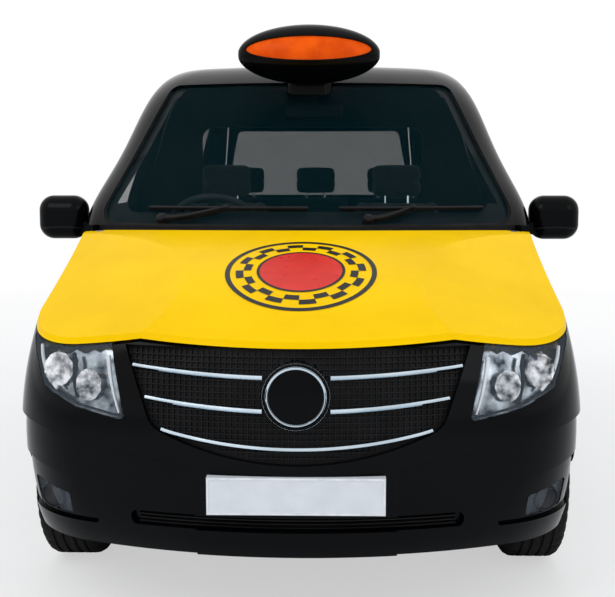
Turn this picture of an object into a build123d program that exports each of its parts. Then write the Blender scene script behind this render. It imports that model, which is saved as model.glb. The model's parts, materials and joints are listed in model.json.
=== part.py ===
"""A right-hand-drive taxi van with a lit roof sign, built as separate panels, glass, seats, axles and wheels.

Millimetres. The front faces -Y, +Z is up, and the origin is on the ground under the middle of the vehicle.
"""
from build123d import *
import math
import os

# Overall sizes
LENGTH = 5140.0
HALF_WIDTH = 964.0
BELT_Z = 1200.0
FOOT_Z = 260.0
NOSE_Y = -LENGTH / 2
TAIL_Y = LENGTH / 2
SIDE_MID_Y = 200.0

# Panels and gaps
WALL = 50.0
WING_WALL = 30.0
BUMPER_WALL = 40.0
BONNET_WALL = 16.0
GLASS_DEPTH = 6.0
GLASS_WALL = 6.0
SHUT_GAP = 8.0
SEAT_GAP = 0.3
FAR = 4000.0

# Wheels, axles and steering
WHEELBASE = 3200.0
FRONT_OVERHANG = 895.0
TRACK = 1640.0
TYRE_R = 336.0
TYRE_WIDTH = 205.0
RIM_R = 210.0
RIM_WIDTH = 170.0
ARCH_R = 395.0
LINER_R = 420.0
LINER_WALL = 6.0
LINER_INNER_X = 505.0
STUB_R = 24.0
HUB_FIT = 0.05
FRONT_AXLE_Y = NOSE_Y + FRONT_OVERHANG
REAR_AXLE_Y = FRONT_AXLE_Y + WHEELBASE
WHEEL_X = TRACK / 2
LOWER_BALL = (722.0, 196.0)
STRUT_TOP = (590.0, 900.0)
TOWER_R = 76.0
TOWER_TOP = 722.0
PIN_R = 12.0

# Body sections below the belt, one row a height. The columns are the height, the nose's setback, how far
# the nose sweeps back to its corner, the nose corner radius, the insets of the half width at the front,
# middle and rear, the tail's setback and the tail corner radius.
LOWER_SECTIONS = [
    (FOOT_Z, 75, 245, 380, 84, 34, 49, 48, 200),
    (400, 24, 240, 380, 64, 14, 29, 8, 200),
    (620, 14, 235, 370, 56, 2, 19, 2, 190),
    (850, 50, 240, 360, 88, 0, 19, 10, 180),
    (1030, 130, 260, 340, 128, 7, 26, 24, 175),
    (BELT_Z, 250, 300, 320, 132, 24, 42, 42, 170),
]
# Sections of the cabin above the belt, with the same columns. The nose is the windscreen here.
UPPER_SECTIONS = [
    (BELT_Z, 1040, 285, 130, 62, 24, 42, 42, 170),
    (1420, 1355, 260, 150, 114, 84, 100, 82, 170),
    (1640, 1670, 225, 170, 174, 149, 162, 132, 170),
    (1800, 1915, 190, 190, 228, 206, 217, 187, 170),
    (1880, 2085, 170, 210, 290, 264, 274, 250, 180),
    (1915, 2320, 150, 230, 420, 384, 394, 390, 200),
]
ROOF_Z = UPPER_SECTIONS[-1][0]
SCREEN_SLOPE_SHARE = 1.75
TAIL_SWEEP = 40.0

# Bonnet: the crowned middle, its centre line and the bevels beside the creases
BONNET_FRONT = (-2490.0, 915.0)
BONNET_MIDDLE = (-2020.0, 1085.0)
BONNET_REAR = (-1500.0, 1196.0)
CROWN_R = 9000.0
CREASE_REAR = (800.0, -1450.0, 1163.0)
CREASE_FRONT = (532.0, -2470.0, 900.0)
SHOULDER = (875.0, -2050.0, 955.0)
BONNET_REAR_Y = -1330.0

# Side openings, as (y, z) corners: two doors a side, then the windows
SILL_Z = 390.0
DOOR_TOP_Z = 1785.0
FRONT_DOOR_Y = (-1225.0, -135.0)
SLIDING_DOOR_Y = (-60.0, 985.0)
PILLAR_FOOT_Y = -1150.0
PILLAR_HEAD_Y = -410.0
WINDOW_Z = (1238.0, 1732.0)
WINDOW_FRAME = 62.0
FRAME_WALL = 32.0
DOOR_REBATE = 14.0
REBATE_DEPTH = 15.0
DOOR_HINGE = (914.0, -1210.0, 1000.0)
DOOR_TILT = 5.0
HINGE_HEIGHTS = (-70.0, 40.0)
HINGE_R = 8.0
HINGE_PIN_R = 4.0
QUARTER_WINDOW_Y = (1062.0, 2290.0)
QUARTER_RAKE = 70.0
ROOF_SPLIT_Z = 1822.0
CORNER_R = 45.0

# Rear openings
TAILGATE_HALF = (770.0, 640.0)
TAILGATE_Z = (600.0, 1800.0)
TAILGATE_WINDOW_HALF = (690.0, 590.0)
TAILGATE_WINDOW_Z = (1250.0, 1730.0)
TAILGATE_HINGE = (2385.0, 1811.0)
TAILGATE_HINGE_X = 300.0
BONNET_HINGE = (-1330.0, 1170.0)
BONNET_HINGE_X = 812.0
BONNET_NOTCH = (38.0, 14.0)
BUMPER_TOP_Z = 590.0
REAR_BUMPER_Y = 2330.0
BUMPER_SPLIT_Y = -2050.0

# Windscreen opening, as half widths at its base and head
SCREEN_HALF = (845.0, 640.0)
SCREEN_Z = (1203.0, 1815.0)

# Floor and inside
FLOOR_Z = (330.0, 380.0)
COWL_Z = (1150.0, BELT_Z)
FIREWALL_Y = -1285.0
FIREWALL_WALL = 40.0
PARTITION_Y = -40.0
DRIVER_X = -420.0


def outline(row, depth, upper):
    """One level section of the body, moved in by depth from the outer skin, as a face."""
    z, setback, sweep, nose_r, in_front, in_mid, in_rear, tail_set, tail_r = row
    half = [HALF_WIDTH - inset - depth for inset in (in_front, in_mid, in_rear)]
    nose = NOSE_Y + setback + depth * (SCREEN_SLOPE_SHARE if upper else 1.0)
    tail = TAIL_Y - tail_set - depth
    level = z - depth * (z - BELT_Z) / (ROOF_Z - BELT_Z) if upper else z
    front, rear = (half[0], nose + sweep), (half[2], tail - TAIL_SWEEP)
    front_left, rear_left = (-front[0], front[1]), (-rear[0], rear[1])
    face = make_face([
        ThreePointArc(front_left, (0, nose), front),
        ThreePointArc(front, (half[1], SIDE_MID_Y), rear),
        ThreePointArc(rear, (0, tail), rear_left),
        ThreePointArc(rear_left, (-half[1], SIDE_MID_Y), front_left),
    ])
    face = fillet(face.vertices().sort_by(Axis.Y)[:2], max(nose_r - depth, 20))
    face = fillet(face.vertices().sort_by(Axis.Y)[-2:], max(tail_r - depth, 20))
    return Pos(0, 0, level) * face


SKINS = {}
LAYERS = {}


def skin(depth, upper=False):
    """The solid inside the body's skin moved in by depth, below or above the belt."""
    key = (depth, upper)
    if key not in SKINS:
        table = UPPER_SECTIONS if upper else LOWER_SECTIONS
        SKINS[key] = loft([outline(row, depth, upper) for row in table])
    return SKINS[key]


def layer(near, deep, upper=False):
    """The wall between two depths under the skin."""
    key = (near, deep, upper)
    if key not in LAYERS:
        LAYERS[key] = skin(near, upper) - skin(deep, upper)
    return LAYERS[key]


def span(x, y, z):
    """A box from its (low, high) pairs."""
    size = [pair[1] - pair[0] for pair in (x, y, z)]
    return Pos(*[(pair[0] + pair[1]) / 2 for pair in (x, y, z)]) * Box(*size)


def side_prism(points, grow=0.0, radius=CORNER_R, x=(500.0, 1200.0)):
    """A (y, z) outline with rounded corners, pushed along X through one side of the body."""
    face = make_face(Polyline(*points, close=True))
    if grow:
        face = offset(face, amount=grow, kind=Kind.INTERSECTION)
    face = fillet(face.vertices(), radius + grow)
    return extrude(Plane(origin=(x[0], 0, 0), x_dir=(0, 1, 0), z_dir=(1, 0, 0)) * face, x[1] - x[0])


def front_prism(face, y=(-FAR, 0.0)):
    """An (x, z) outline pushed along Y."""
    plane = Plane(origin=(0, y[0], 0), x_dir=(1, 0, 0), z_dir=(0, -1, 0))
    return extrude(plane * face, -(y[1] - y[0]))


def both(shape):
    """A piece of the left side and its mirror image on the right."""
    return Compound([*shape.solids(), *mirror(shape, about=Plane.YZ).solids()])


def right_of(shape):
    """The mirror image on the vehicle's right side."""
    return mirror(shape, about=Plane.YZ)


def solids_of(shape):
    """All closed pieces of a shape as one compound."""
    return Compound(list(shape.solids()))


def below_bonnet(drop=0.0):
    """Everything under the bonnet's outer surface, lowered by drop."""
    fy, fz = BONNET_FRONT
    ry, rz = BONNET_REAR
    slope = (rz - fz) / (ry - fy)
    start, end = (fy - 300, fz - 300 * slope - 60), (ry + 500, rz + 500 * slope - 100)
    deep = 1400.0
    top = ThreePointArc(start, BONNET_MIDDLE, end)
    sides = Polyline(end, (end[0], end[1] - deep), (start[0], start[1] - deep), start)
    face = make_face([top, sides])
    face = Plane(origin=(0, 0, 0), x_dir=(0, 1, 0), z_dir=(1, 0, 0)) * face
    axis = Axis((0, fy, fz - CROWN_R), (0, 1, slope))
    sweep = 9.0
    crowned = revolve(Rotation(0, 0, 0) * face.rotate(axis, -sweep), axis, 2 * sweep)
    result = Pos(0, 0, -drop) * crowned
    for sign in (1, -1):
        points = [Vector(sign * p[0], p[1], p[2] - drop) for p in (CREASE_REAR, CREASE_FRONT, SHOULDER)]
        normal = (points[1] - points[0]).cross(points[2] - points[0]).normalized()
        if normal.Z < 0:
            normal = normal * -1
        plane = Plane(origin=points[0], z_dir=normal)
        block = plane * Pos(0, 0, -FAR / 2) * Box(2 * FAR, 2 * FAR, FAR)
        result = result & block
    return result


def arch(y, radius, x=(0.0, 1200.0)):
    """A wheel arch's round opening through one side."""
    return Pos((x[0] + x[1]) / 2, y, TYRE_R) * Rotation(0, 90, 0) * Cylinder(radius, x[1] - x[0])


FRONT_DOOR = [
    (FRONT_DOOR_Y[0], SILL_Z), (FRONT_DOOR_Y[1], SILL_Z), (FRONT_DOOR_Y[1], DOOR_TOP_Z),
    (PILLAR_HEAD_Y, DOOR_TOP_Z), (PILLAR_FOOT_Y, BELT_Z), (FRONT_DOOR_Y[0], BELT_Z - 70),
]
PILLAR_RUN = (PILLAR_HEAD_Y - PILLAR_FOOT_Y) / (DOOR_TOP_Z - BELT_Z)
FRONT_WINDOW = [
    (PILLAR_FOOT_Y + PILLAR_RUN * (WINDOW_Z[0] - BELT_Z) + 1.4 * WINDOW_FRAME, WINDOW_Z[0]),
    (FRONT_DOOR_Y[1] - WINDOW_FRAME, WINDOW_Z[0]), (FRONT_DOOR_Y[1] - WINDOW_FRAME, WINDOW_Z[1]),
    (PILLAR_FOOT_Y + PILLAR_RUN * (WINDOW_Z[1] - BELT_Z) + 1.4 * WINDOW_FRAME, WINDOW_Z[1]),
]
SLIDING_DOOR = [(y, z) for y, z in zip(
    (SLIDING_DOOR_Y[0], SLIDING_DOOR_Y[1], SLIDING_DOOR_Y[1], SLIDING_DOOR_Y[0]),
    (SILL_Z, SILL_Z, DOOR_TOP_Z, DOOR_TOP_Z))]
SLIDING_WINDOW = [
    (SLIDING_DOOR_Y[0] + WINDOW_FRAME, WINDOW_Z[0]), (SLIDING_DOOR_Y[1] - WINDOW_FRAME, WINDOW_Z[0]),
    (SLIDING_DOOR_Y[1] - WINDOW_FRAME, WINDOW_Z[1]), (SLIDING_DOOR_Y[0] + WINDOW_FRAME, WINDOW_Z[1]),
]
QUARTER_WINDOW = [
    (QUARTER_WINDOW_Y[0], WINDOW_Z[0]), (QUARTER_WINDOW_Y[1], WINDOW_Z[0]),
    (QUARTER_WINDOW_Y[1] - QUARTER_RAKE, WINDOW_Z[1]), (QUARTER_WINDOW_Y[0], WINDOW_Z[1]),
]


def trapezium(half, z, radius=CORNER_R, grow=0.0):
    """A rounded (x, z) outline, wider at its foot."""
    points = [(-half[0] - grow, z[0] - grow), (half[0] + grow, z[0] - grow),
              (half[1] + grow, z[1] + grow), (-half[1] - grow, z[1] + grow)]
    face = make_face(Polyline(*points, close=True))
    return fillet(face.vertices(), radius + grow)


def cut_wall(prism, upper_wall=WALL):
    """The piece of the body wall inside a prism, with the parts below and above the belt fused."""
    return (layer(0, WALL) & prism) + (layer(0, upper_wall, True) & prism)


def pane(points, radius=CORNER_R):
    """One side window, set under the skin with a seat gap to its frame."""
    prism = side_prism(points, grow=-SEAT_GAP, radius=radius)
    return layer(GLASS_DEPTH, GLASS_DEPTH + GLASS_WALL, True) & prism


def doors():
    """Front doors, sliding doors and their glass for the left side."""
    made = {}
    openings = (("front", FRONT_DOOR, FRONT_WINDOW), ("sliding", SLIDING_DOOR, SLIDING_WINDOW))
    for name, door, window in openings:
        panel = cut_wall(side_prism(door, grow=-SHUT_GAP / 2), FRAME_WALL if name == "front" else WALL)
        made[name + "_panel"] = panel - side_prism(window)
        made[name + "_glass"] = pane(window)
    made["quarter_glass"] = pane(QUARTER_WINDOW)
    lugs, barrels, pockets = door_hinges()
    for barrel, pocket in zip(barrels, pockets):
        made["front_panel"] = made["front_panel"] - pocket + barrel
    for y in (SLIDING_DOOR_Y[0], SLIDING_DOOR_Y[1]):
        catch = span((0, 1200), (y - SHUT_GAP, y + SHUT_GAP), (860, 940)) & layer(18, 40)
        reach = SHUT_GAP / 2 - SEAT_GAP
        catch = catch & span((0, 1200), (SLIDING_DOOR_Y[0] - reach, SLIDING_DOOR_Y[1] + reach), (0, 2000))
        made["sliding_panel"] = made["sliding_panel"] + catch
    return made


def door_axis():
    """The left front door's hinge axis, as a plane: its x runs to the rear and its y inboard."""
    tilt = math.radians(DOOR_TILT)
    return Plane(origin=DOOR_HINGE, x_dir=(0, 1, 0), z_dir=(-math.sin(tilt), 0, math.cos(tilt)))


def on_door_axis(radius, heights):
    """A round bar along the left door's hinge axis."""
    return door_axis() * Pos(0, 0, sum(heights) / 2) * Cylinder(radius, heights[1] - heights[0])


def door_hinges():
    """The left door's hinges: the body's lugs with their pins, the door's barrels and their pockets."""
    lugs, barrels, pockets = [], [], []
    for low in HINGE_HEIGHTS:
        pin = on_door_axis(HINGE_PIN_R, (low, low + 56))
        for foot in (low, low + 44):
            arm = door_axis() * Pos(-21, 4, foot + 6) * Box(42, 12, 12)
            pin = pin + on_door_axis(HINGE_R, (foot, foot + 12)) + arm
        lugs.append(pin)
        leaf = door_axis() * Pos(20, 9, low + 28) * Box(40, 14, 26)
        barrel = on_door_axis(HINGE_R, (low + 13, low + 43)) + leaf
        barrels.append(barrel - on_door_axis(HINGE_PIN_R + HUB_FIT, (low, low + 56)))
        pockets.append(on_door_axis(HINGE_R + 9, (low - 6, low + 62)))
    return lugs, barrels, pockets


def screen_prism(grow=0.0):
    """The windscreen's outline pushed along Y."""
    return front_prism(trapezium(SCREEN_HALF, SCREEN_Z, 60.0, grow), (-FAR, -100.0))


def tailgate_prism(grow=0.0):
    """The tailgate's outline pushed along Y."""
    return front_prism(trapezium(TAILGATE_HALF, TAILGATE_Z, 60.0, grow), (1900.0, FAR))


def tailgate_window(grow=0.0):
    """The tailgate window's outline pushed along Y."""
    return front_prism(trapezium(TAILGATE_WINDOW_HALF, TAILGATE_WINDOW_Z, 50.0, grow), (1900.0, FAR))


def body_side():
    """The left side of the body: pillars, sill and rear quarter, with its openings."""
    region = span((0, 1200), (FRONT_DOOR_Y[0] - SHUT_GAP / 2, FAR), (200, ROOF_SPLIT_Z))
    upper = layer(0, WALL, True) & span((0, 1200), (-FAR, FAR), (BELT_Z, ROOF_SPLIT_Z))
    lower = layer(0, WALL) & region
    lower = lower - span((0, 1200), (REAR_BUMPER_Y - SEAT_GAP, FAR), (200, BUMPER_TOP_Z + SEAT_GAP))
    side = lower + upper
    for outline_points in (FRONT_DOOR, SLIDING_DOOR):
        side = side - side_prism(outline_points, grow=SHUT_GAP / 2)
    rebate = side_prism(FRONT_DOOR, grow=SHUT_GAP / 2 + DOOR_REBATE)
    side = side - (rebate & skin(REBATE_DEPTH)) - (rebate & skin(REBATE_DEPTH, True))
    side = side - side_prism(QUARTER_WINDOW)
    side = side - screen_prism() - tailgate_prism(SHUT_GAP)
    side = side - span((-10, 650), (-FAR, -900), (1000, 1260))
    side = side - span((-10, 760), (2000, FAR), (200, 800))
    side = side - arch(REAR_AXLE_Y, ARCH_R, (600, 1200))
    return side - lamp_prism(TAIL_LAMP, (TAIL_LAMP_Y, FAR))


def lamp_face(points, radius):
    """A lamp's (x, z) outline with rounded corners."""
    face = make_face(Polyline(*points, close=True))
    return fillet(face.vertices(), radius)


# Lamp outlines seen from the end of the vehicle, as (x, z) corners on the left side
HEADLAMP = [(826, 990), (850, 885), (785, 752), (668, 702), (512, 672), (562, 905)]
TAIL_LAMP = [(800, 960), (985, 960), (985, 1440), (762, 1440)]
TAIL_LAMP_Y = 2400.0
FOG_LAMP = [(700, 350), (832, 356), (846, 448), (706, 420)]
FOG_RECESS = [(600, 335), (900, 335), (900, 520), (690, 482)]
FOG_DEPTH = 22.0
# Below this line the bumper steps in, which leaves a blade from the grille's foot to each corner
BLADE = [(920, 648), (412, 566), (300, 548), (300, 200), (920, 200)]
BLADE_STEP = 12.0
INTAKE = (1000.0, 48.0)
INTAKE_Z = 372.0
INTAKE_DEPTH = 28.0
LAMP_R = 12.0
LENS_DEPTH = 2.0
LENS_WALL = 40.0


def lamp_prism(points, y=(-FAR, -1500.0), grow=0.0):
    """A lamp's outline pushed along Y."""
    face = lamp_face(points, LAMP_R)
    if grow:
        face = offset(face, amount=grow)
    return front_prism(face, y)


GRILLE_TOP = (515.0, 893.0)
GRILLE_FOOT = (432.0, 660.0)
GRILLE_CENTRE_Z = 556.0
GRILLE_CORNER_R = 70.0


def grille_face():
    """The shield-shaped grille opening, whose foot is one shallow arc."""
    top_x, top_z = GRILLE_TOP
    foot_x, foot_z = GRILLE_FOOT
    face = make_face([
        Line((-top_x, top_z), (top_x, top_z)),
        Line((top_x, top_z), (foot_x, foot_z)),
        ThreePointArc((foot_x, foot_z), (0, GRILLE_CENTRE_Z), (-foot_x, foot_z)),
        Line((-foot_x, foot_z), (-top_x, top_z)),
    ])
    return fillet(face.vertices().sort_by(Axis.Y)[:2], GRILLE_CORNER_R)


# Bright bars of the grille: half length, height at the middle, height at the end, whether the middle is open
GRILLE_BARS = [(490, 800, 826, True), (455, 704, 736, True), (400, 594, 642, False)]
BAR_HEIGHT = 17.0
EMBLEM_R = 98.0
EMBLEM_Z = 762.0


def bar_face(half, z_mid, z_end):
    """One smile-shaped bar, seen from the front."""
    top = ThreePointArc((-half, z_end + BAR_HEIGHT), (0, z_mid + BAR_HEIGHT), (half, z_end + BAR_HEIGHT))
    foot = ThreePointArc((half, z_end), (0, z_mid), (-half, z_end))
    return make_face([top, Line((half, z_end + BAR_HEIGHT), (half, z_end)), foot,
                      Line((-half, z_end), (-half, z_end + BAR_HEIGHT))])


def cowl_prism(grow, z):
    """The windscreen's foot outline, pushed along Z between two heights."""
    foot = outline(UPPER_SECTIONS[0], -grow, True)
    return extrude(Pos(0, 0, z[0] - BELT_Z) * foot, z[1] - z[0])


def bonnet():
    """The bonnet, a crowned panel with bevelled sides, notched at its rear edge for the hinges."""
    y, z = BONNET_HINGE
    notch_x, notch_y = BONNET_NOTCH
    notch_at = (BONNET_HINGE_X - notch_x, BONNET_HINGE_X + notch_x)
    notch = both(span(notch_at, (y - notch_y, y + notch_y), (0, FAR)))
    region = span((-1200, 1200), (-FAR, BONNET_REAR_Y), (FOOT_Z, BELT_Z)) - notch
    nose = skin(0) & below_bonnet() & region
    lid = nose - below_bonnet(BONNET_WALL) - cowl_prism(1.5 * SHUT_GAP, (900, BELT_Z + 50))
    arm = span((BONNET_HINGE_X - 14, BONNET_HINGE_X + 14), (y - 40, y), (z - 8, z + 12))
    barrel = along_x(HINGE_R, BONNET_HINGE_X, 14, BONNET_HINGE) + arm
    return lid + both(barrel - along_x(HINGE_PIN_R + HUB_FIT, BONNET_HINGE_X, 40, BONNET_HINGE))


def along_x(radius, x, half, hinge):
    """A round bar along X about a hinge line, centred at x."""
    return Pos(x, hinge[0], hinge[1]) * Rotation(0, 90, 0) * Cylinder(radius, 2 * half)


def fixed_lugs(x, hinge, arm_y, arm_z):
    """A pin along X with a lug at each end, and each lug's arm to the body."""
    made = along_x(HINGE_PIN_R, x, 32, hinge)
    for offset_x in (-24, 24):
        arm = span((x + offset_x - 8, x + offset_x + 8), arm_y, arm_z)
        made = made + along_x(HINGE_R, x + offset_x, 8, hinge) + arm
    return made


def front_end():
    """Wings and front bumper, below the bonnet's skirts."""
    below = below_bonnet(BONNET_WALL + SHUT_GAP)
    rear_y = FRONT_DOOR_Y[0] - SHUT_GAP / 2 - SEAT_GAP
    wing_y = (BUMPER_SPLIT_Y + SEAT_GAP, rear_y)
    strip = layer(0, WING_WALL) & span((0, 1200), wing_y, (FOOT_Z, BELT_Z - SEAT_GAP))
    wing = strip - (span((0, 1200), (-FAR, BONNET_REAR_Y + SHUT_GAP), (0, 2000)) - below)
    wing = wing - arch(FRONT_AXLE_Y, ARCH_R, (500, 1200)) - lamp_prism(HEADLAMP, grow=SEAT_GAP)
    for lug in door_hinges()[0]:
        wing = wing + lug
    bumper = layer(0, BUMPER_WALL) & below & span((-1200, 1200), (-FAR, BUMPER_SPLIT_Y), (FOOT_Z, BELT_Z))
    cut = both(lamp_prism(HEADLAMP, grow=SEAT_GAP) + lamp_prism(FOG_LAMP, grow=SEAT_GAP)
               + arch(FRONT_AXLE_Y, ARCH_R, (500, 1200)))
    blade = front_prism(make_face(Polyline(*BLADE, close=True)))
    bumper = bumper - (layer(0, BLADE_STEP) & both(blade))
    bumper = bumper - (layer(0, FOG_DEPTH) & both(lamp_prism(FOG_RECESS)))
    intake = front_prism(Pos(0, INTAKE_Z) * RectangleRounded(*INTAKE, INTAKE[1] * 0.4))
    bumper = bumper - (layer(0, INTAKE_DEPTH) & intake)
    return wing, bumper - cut - front_prism(grille_face())


def grille():
    """The dark insert behind the bars, and the bright bars with the plain round boss."""
    insert_face = offset(grille_face(), amount=-SEAT_GAP)
    insert = layer(22, BUMPER_WALL) & front_prism(insert_face) & below_bonnet(BONNET_WALL + SHUT_GAP)
    bars = None
    for half, z_mid, z_end, is_open in GRILLE_BARS:
        face = bar_face(half, z_mid, z_end) & insert_face
        if is_open:
            face = face - Pos(0, EMBLEM_Z) * Circle(EMBLEM_R + 8)
        bar = layer(4, 22 - SEAT_GAP) & front_prism(face)
        bars = bar if bars is None else Compound([*bars.solids(), *bar.solids()])
    boss_y = NOSE_Y + 20
    boss = Pos(0, boss_y + 15, EMBLEM_Z) * Rotation(90, 0, 0) * Cylinder(EMBLEM_R, 60)
    boss = boss - skin(22 - SEAT_GAP)
    return insert, bars, boss


def roof():
    """The roof panel above the drip line, with its front header."""
    panel = layer(0, WALL * 0.6, True) & span((-1200, 1200), (-FAR, FAR), (ROOF_SPLIT_Z + SEAT_GAP, FAR))
    y, z = TAILGATE_HINGE
    lugs = fixed_lugs(TAILGATE_HINGE_X, TAILGATE_HINGE, (y - 5, y + 7), (z, ROOF_SPLIT_Z + 14))
    for offset_x in (-24, 24):
        lugs = lugs + span((TAILGATE_HINGE_X + offset_x - 8, TAILGATE_HINGE_X + offset_x + 8),
                           (y - 50, y + 7), (ROOF_SPLIT_Z + 2, ROOF_SPLIT_Z + 14))
    return panel + both(lugs)


def rear_bumper():
    """The rear bumper and the sill under the tailgate."""
    region = span((-1200, 1200), (REAR_BUMPER_Y, FAR), (FOOT_Z, BUMPER_TOP_Z))
    return layer(0, WALL) & region


def tailgate():
    """The tailgate, with its window cut, and its glass."""
    panel = cut_wall(tailgate_prism())
    panel = panel & span((-1200, 1200), (1900, FAR), (TAILGATE_Z[0], TAILGATE_Z[1]))
    glass = layer(GLASS_DEPTH, GLASS_DEPTH + GLASS_WALL, True) & tailgate_window(-SEAT_GAP)
    y, z = TAILGATE_HINGE
    arm = span((TAILGATE_HINGE_X - 14, TAILGATE_HINGE_X + 14), (y - 40, y + 6), (z - 40, z - 14))
    neck = span((TAILGATE_HINGE_X - 14, TAILGATE_HINGE_X + 14), (y - 6, y + 6), (z - 40, z))
    barrel = along_x(HINGE_R, TAILGATE_HINGE_X, 14, TAILGATE_HINGE) + arm + neck
    barrel = barrel - along_x(HINGE_PIN_R + HUB_FIT, TAILGATE_HINGE_X, 40, TAILGATE_HINGE)
    return (panel - tailgate_window()) + both(barrel), glass


def floor_pan():
    """The floor between the body's walls, with the four wheel wells left open."""
    y = (FIREWALL_Y + SEAT_GAP, REAR_BUMPER_Y - 60)
    pan = skin(WALL + SEAT_GAP) & span((-1200, 1200), y, FLOOR_Z)
    for axle_y in (FRONT_AXLE_Y, REAR_AXLE_Y):
        well_y = (axle_y - LINER_R, axle_y + LINER_R)
        pan = pan - both(span((LINER_INNER_X - LINER_WALL, 1200), well_y, (0, 900)))
    return pan


def kingpin():
    """The left steering axis, as a plane whose normal runs from the ball joint to the strut top."""
    ball_x, ball_z = LOWER_BALL
    top_x, top_z = STRUT_TOP
    way = (top_x - ball_x, 0, top_z - ball_z)
    return Plane(origin=(ball_x, FRONT_AXLE_Y, ball_z), x_dir=(0, 1, 0), z_dir=way)


def on_kingpin(radius, heights):
    """A round bar along the left steering axis between two heights above the ball joint."""
    return kingpin() * Pos(0, 0, sum(heights) / 2) * Cylinder(radius, heights[1] - heights[0])


def well_space(y):
    """The outer bounds of one left wheel well, that other panels keep clear of."""
    return arch(y, LINER_R + LINER_WALL + SEAT_GAP, (LINER_INNER_X - LINER_WALL - SEAT_GAP, 1200))


def liners():
    """The four wheel wells: a rolled arch and an inner cheek each, the front ones with a strut tower."""
    made = []
    tower = on_kingpin(TOWER_R, (440, TOWER_TOP))
    tower_hollow = on_kingpin(TOWER_R - 8, (400, TOWER_TOP - 16))
    tower_hollow = tower_hollow + on_kingpin(PIN_R + HUB_FIT, (400, TOWER_TOP + 10))
    for y, wall_depth in ((FRONT_AXLE_Y, WING_WALL), (REAR_AXLE_Y, WALL)):
        ring = arch(y, LINER_R + LINER_WALL, (LINER_INNER_X - LINER_WALL, 1200))
        hollow = arch(y, LINER_R, (LINER_INNER_X, 1300))
        if y == FRONT_AXLE_Y:
            ring, hollow = ring + tower, hollow + tower_hollow
        well = (ring - hollow) & span((0, 1200), (-FAR, FAR), (FLOOR_Z[1] + SEAT_GAP, FAR))
        well = well & skin(wall_depth + SEAT_GAP)
        if y == FRONT_AXLE_Y:
            nose = span((0, 1200), (-FAR, BUMPER_SPLIT_Y + 2), (0, 1200))
            well = well - (nose - skin(BUMPER_WALL + SEAT_GAP))
        made.append(well)
    return made


def firewall():
    """The bulkhead behind the engine and the cowl under the windscreen."""
    y = (FIREWALL_Y - FIREWALL_WALL, FIREWALL_Y)
    plate = skin(WALL + SEAT_GAP) & span((-1200, 1200), y, (FLOOR_Z[0], COWL_Z[0]))
    shelf = cowl_prism(-SEAT_GAP, COWL_Z) & span((-1200, 1200), (-FAR, FIREWALL_Y), (0, 2000))
    lugs = fixed_lugs(BONNET_HINGE_X, BONNET_HINGE, (BONNET_HINGE[0] - 2, BONNET_HINGE[0] + 40), (1160, 1174))
    pocket = along_x(HINGE_R + 6, BONNET_HINGE_X, 20, BONNET_HINGE)
    solid = plate + (shelf & skin(WALL + SEAT_GAP))
    return solid - both(well_space(FRONT_AXLE_Y) + pocket) + both(lugs)


def wheel(x, y):
    """A tyre and an alloy rim with five twin spokes, whose hub bore fits the stub axle."""
    half, shoulder = TYRE_WIDTH / 2, 34.0
    with BuildSketch(Plane.XZ) as section:
        with BuildLine():
            Polyline((-half + 16, RIM_R), (-half, RIM_R + 45), (-half, TYRE_R - shoulder))
            RadiusArc((-half, TYRE_R - shoulder), (-half + shoulder, TYRE_R), shoulder)
            Line((-half + shoulder, TYRE_R), (half - shoulder, TYRE_R))
            RadiusArc((half - shoulder, TYRE_R), (half, TYRE_R - shoulder), shoulder)
            Polyline((half, TYRE_R - shoulder), (half, RIM_R + 45), (half - 16, RIM_R), (-half + 16, RIM_R))
        make_face()
    tyre = revolve(section.sketch, Axis.X)
    barrel_half = RIM_WIDTH / 2
    barrel = Rotation(0, 90, 0) * (Cylinder(RIM_R - SEAT_GAP, RIM_WIDTH) - Cylinder(RIM_R - 14, RIM_WIDTH))
    disc_x = barrel_half - 42
    disc = Pos(disc_x, 0, 0) * Rotation(0, 90, 0) * Cylinder(RIM_R - 13, 34)
    window = None
    for i in range(10):
        angle = i * 36 + 18
        slot = Rotation(angle, 0, 0) * (Pos(disc_x, 0, 140) * Box(60, 44, 78))
        window = slot if window is None else window + slot
    hub = Pos(disc_x - 30, 0, 0) * Rotation(0, 90, 0) * Cylinder(82, 90)
    rim = barrel + (disc - window) + hub
    bore = Cylinder(STUB_R + HUB_FIT, 2 * disc_x + 130)
    rim = rim - Rotation(0, 90, 0) * Pos(0, 0, -60) * bore
    place = Pos(x, y, TYRE_R)
    turn = Rotation(0, 0, 0 if x > 0 else 180)
    return place * turn * tyre, place * turn * rim


def rounded(size, at, radius):
    """A block with its long edges rounded, centred at a place."""
    block = Box(*size)
    return Pos(*at) * fillet(block.edges(), radius)


# Roof sign: half length, radius of its spindle body, place, and the orange lens seen from the front
SIGN_HALF = 312.0
SIGN_TIP = 6.0
SIGN_R = 128.0
SIGN_AT = (0.0, -790.0, 1922.0)
LENS_HALF = (272.0, 52.0)
LENS_Z = 1938.0
SIGN_FOOT = (200.0, 190.0)
SIGN_FOOT_Y = -640.0


def sign_body(grow):
    """The sign's spindle: a half ellipse turned about its long axis."""
    half, radius = SIGN_HALF + grow, SIGN_R + grow
    section = Ellipse(half, radius) & Pos(0, radius) * Rectangle(2 * half - SIGN_TIP, 2 * radius)
    return Pos(*SIGN_AT) * revolve(section, Axis.X)


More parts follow.
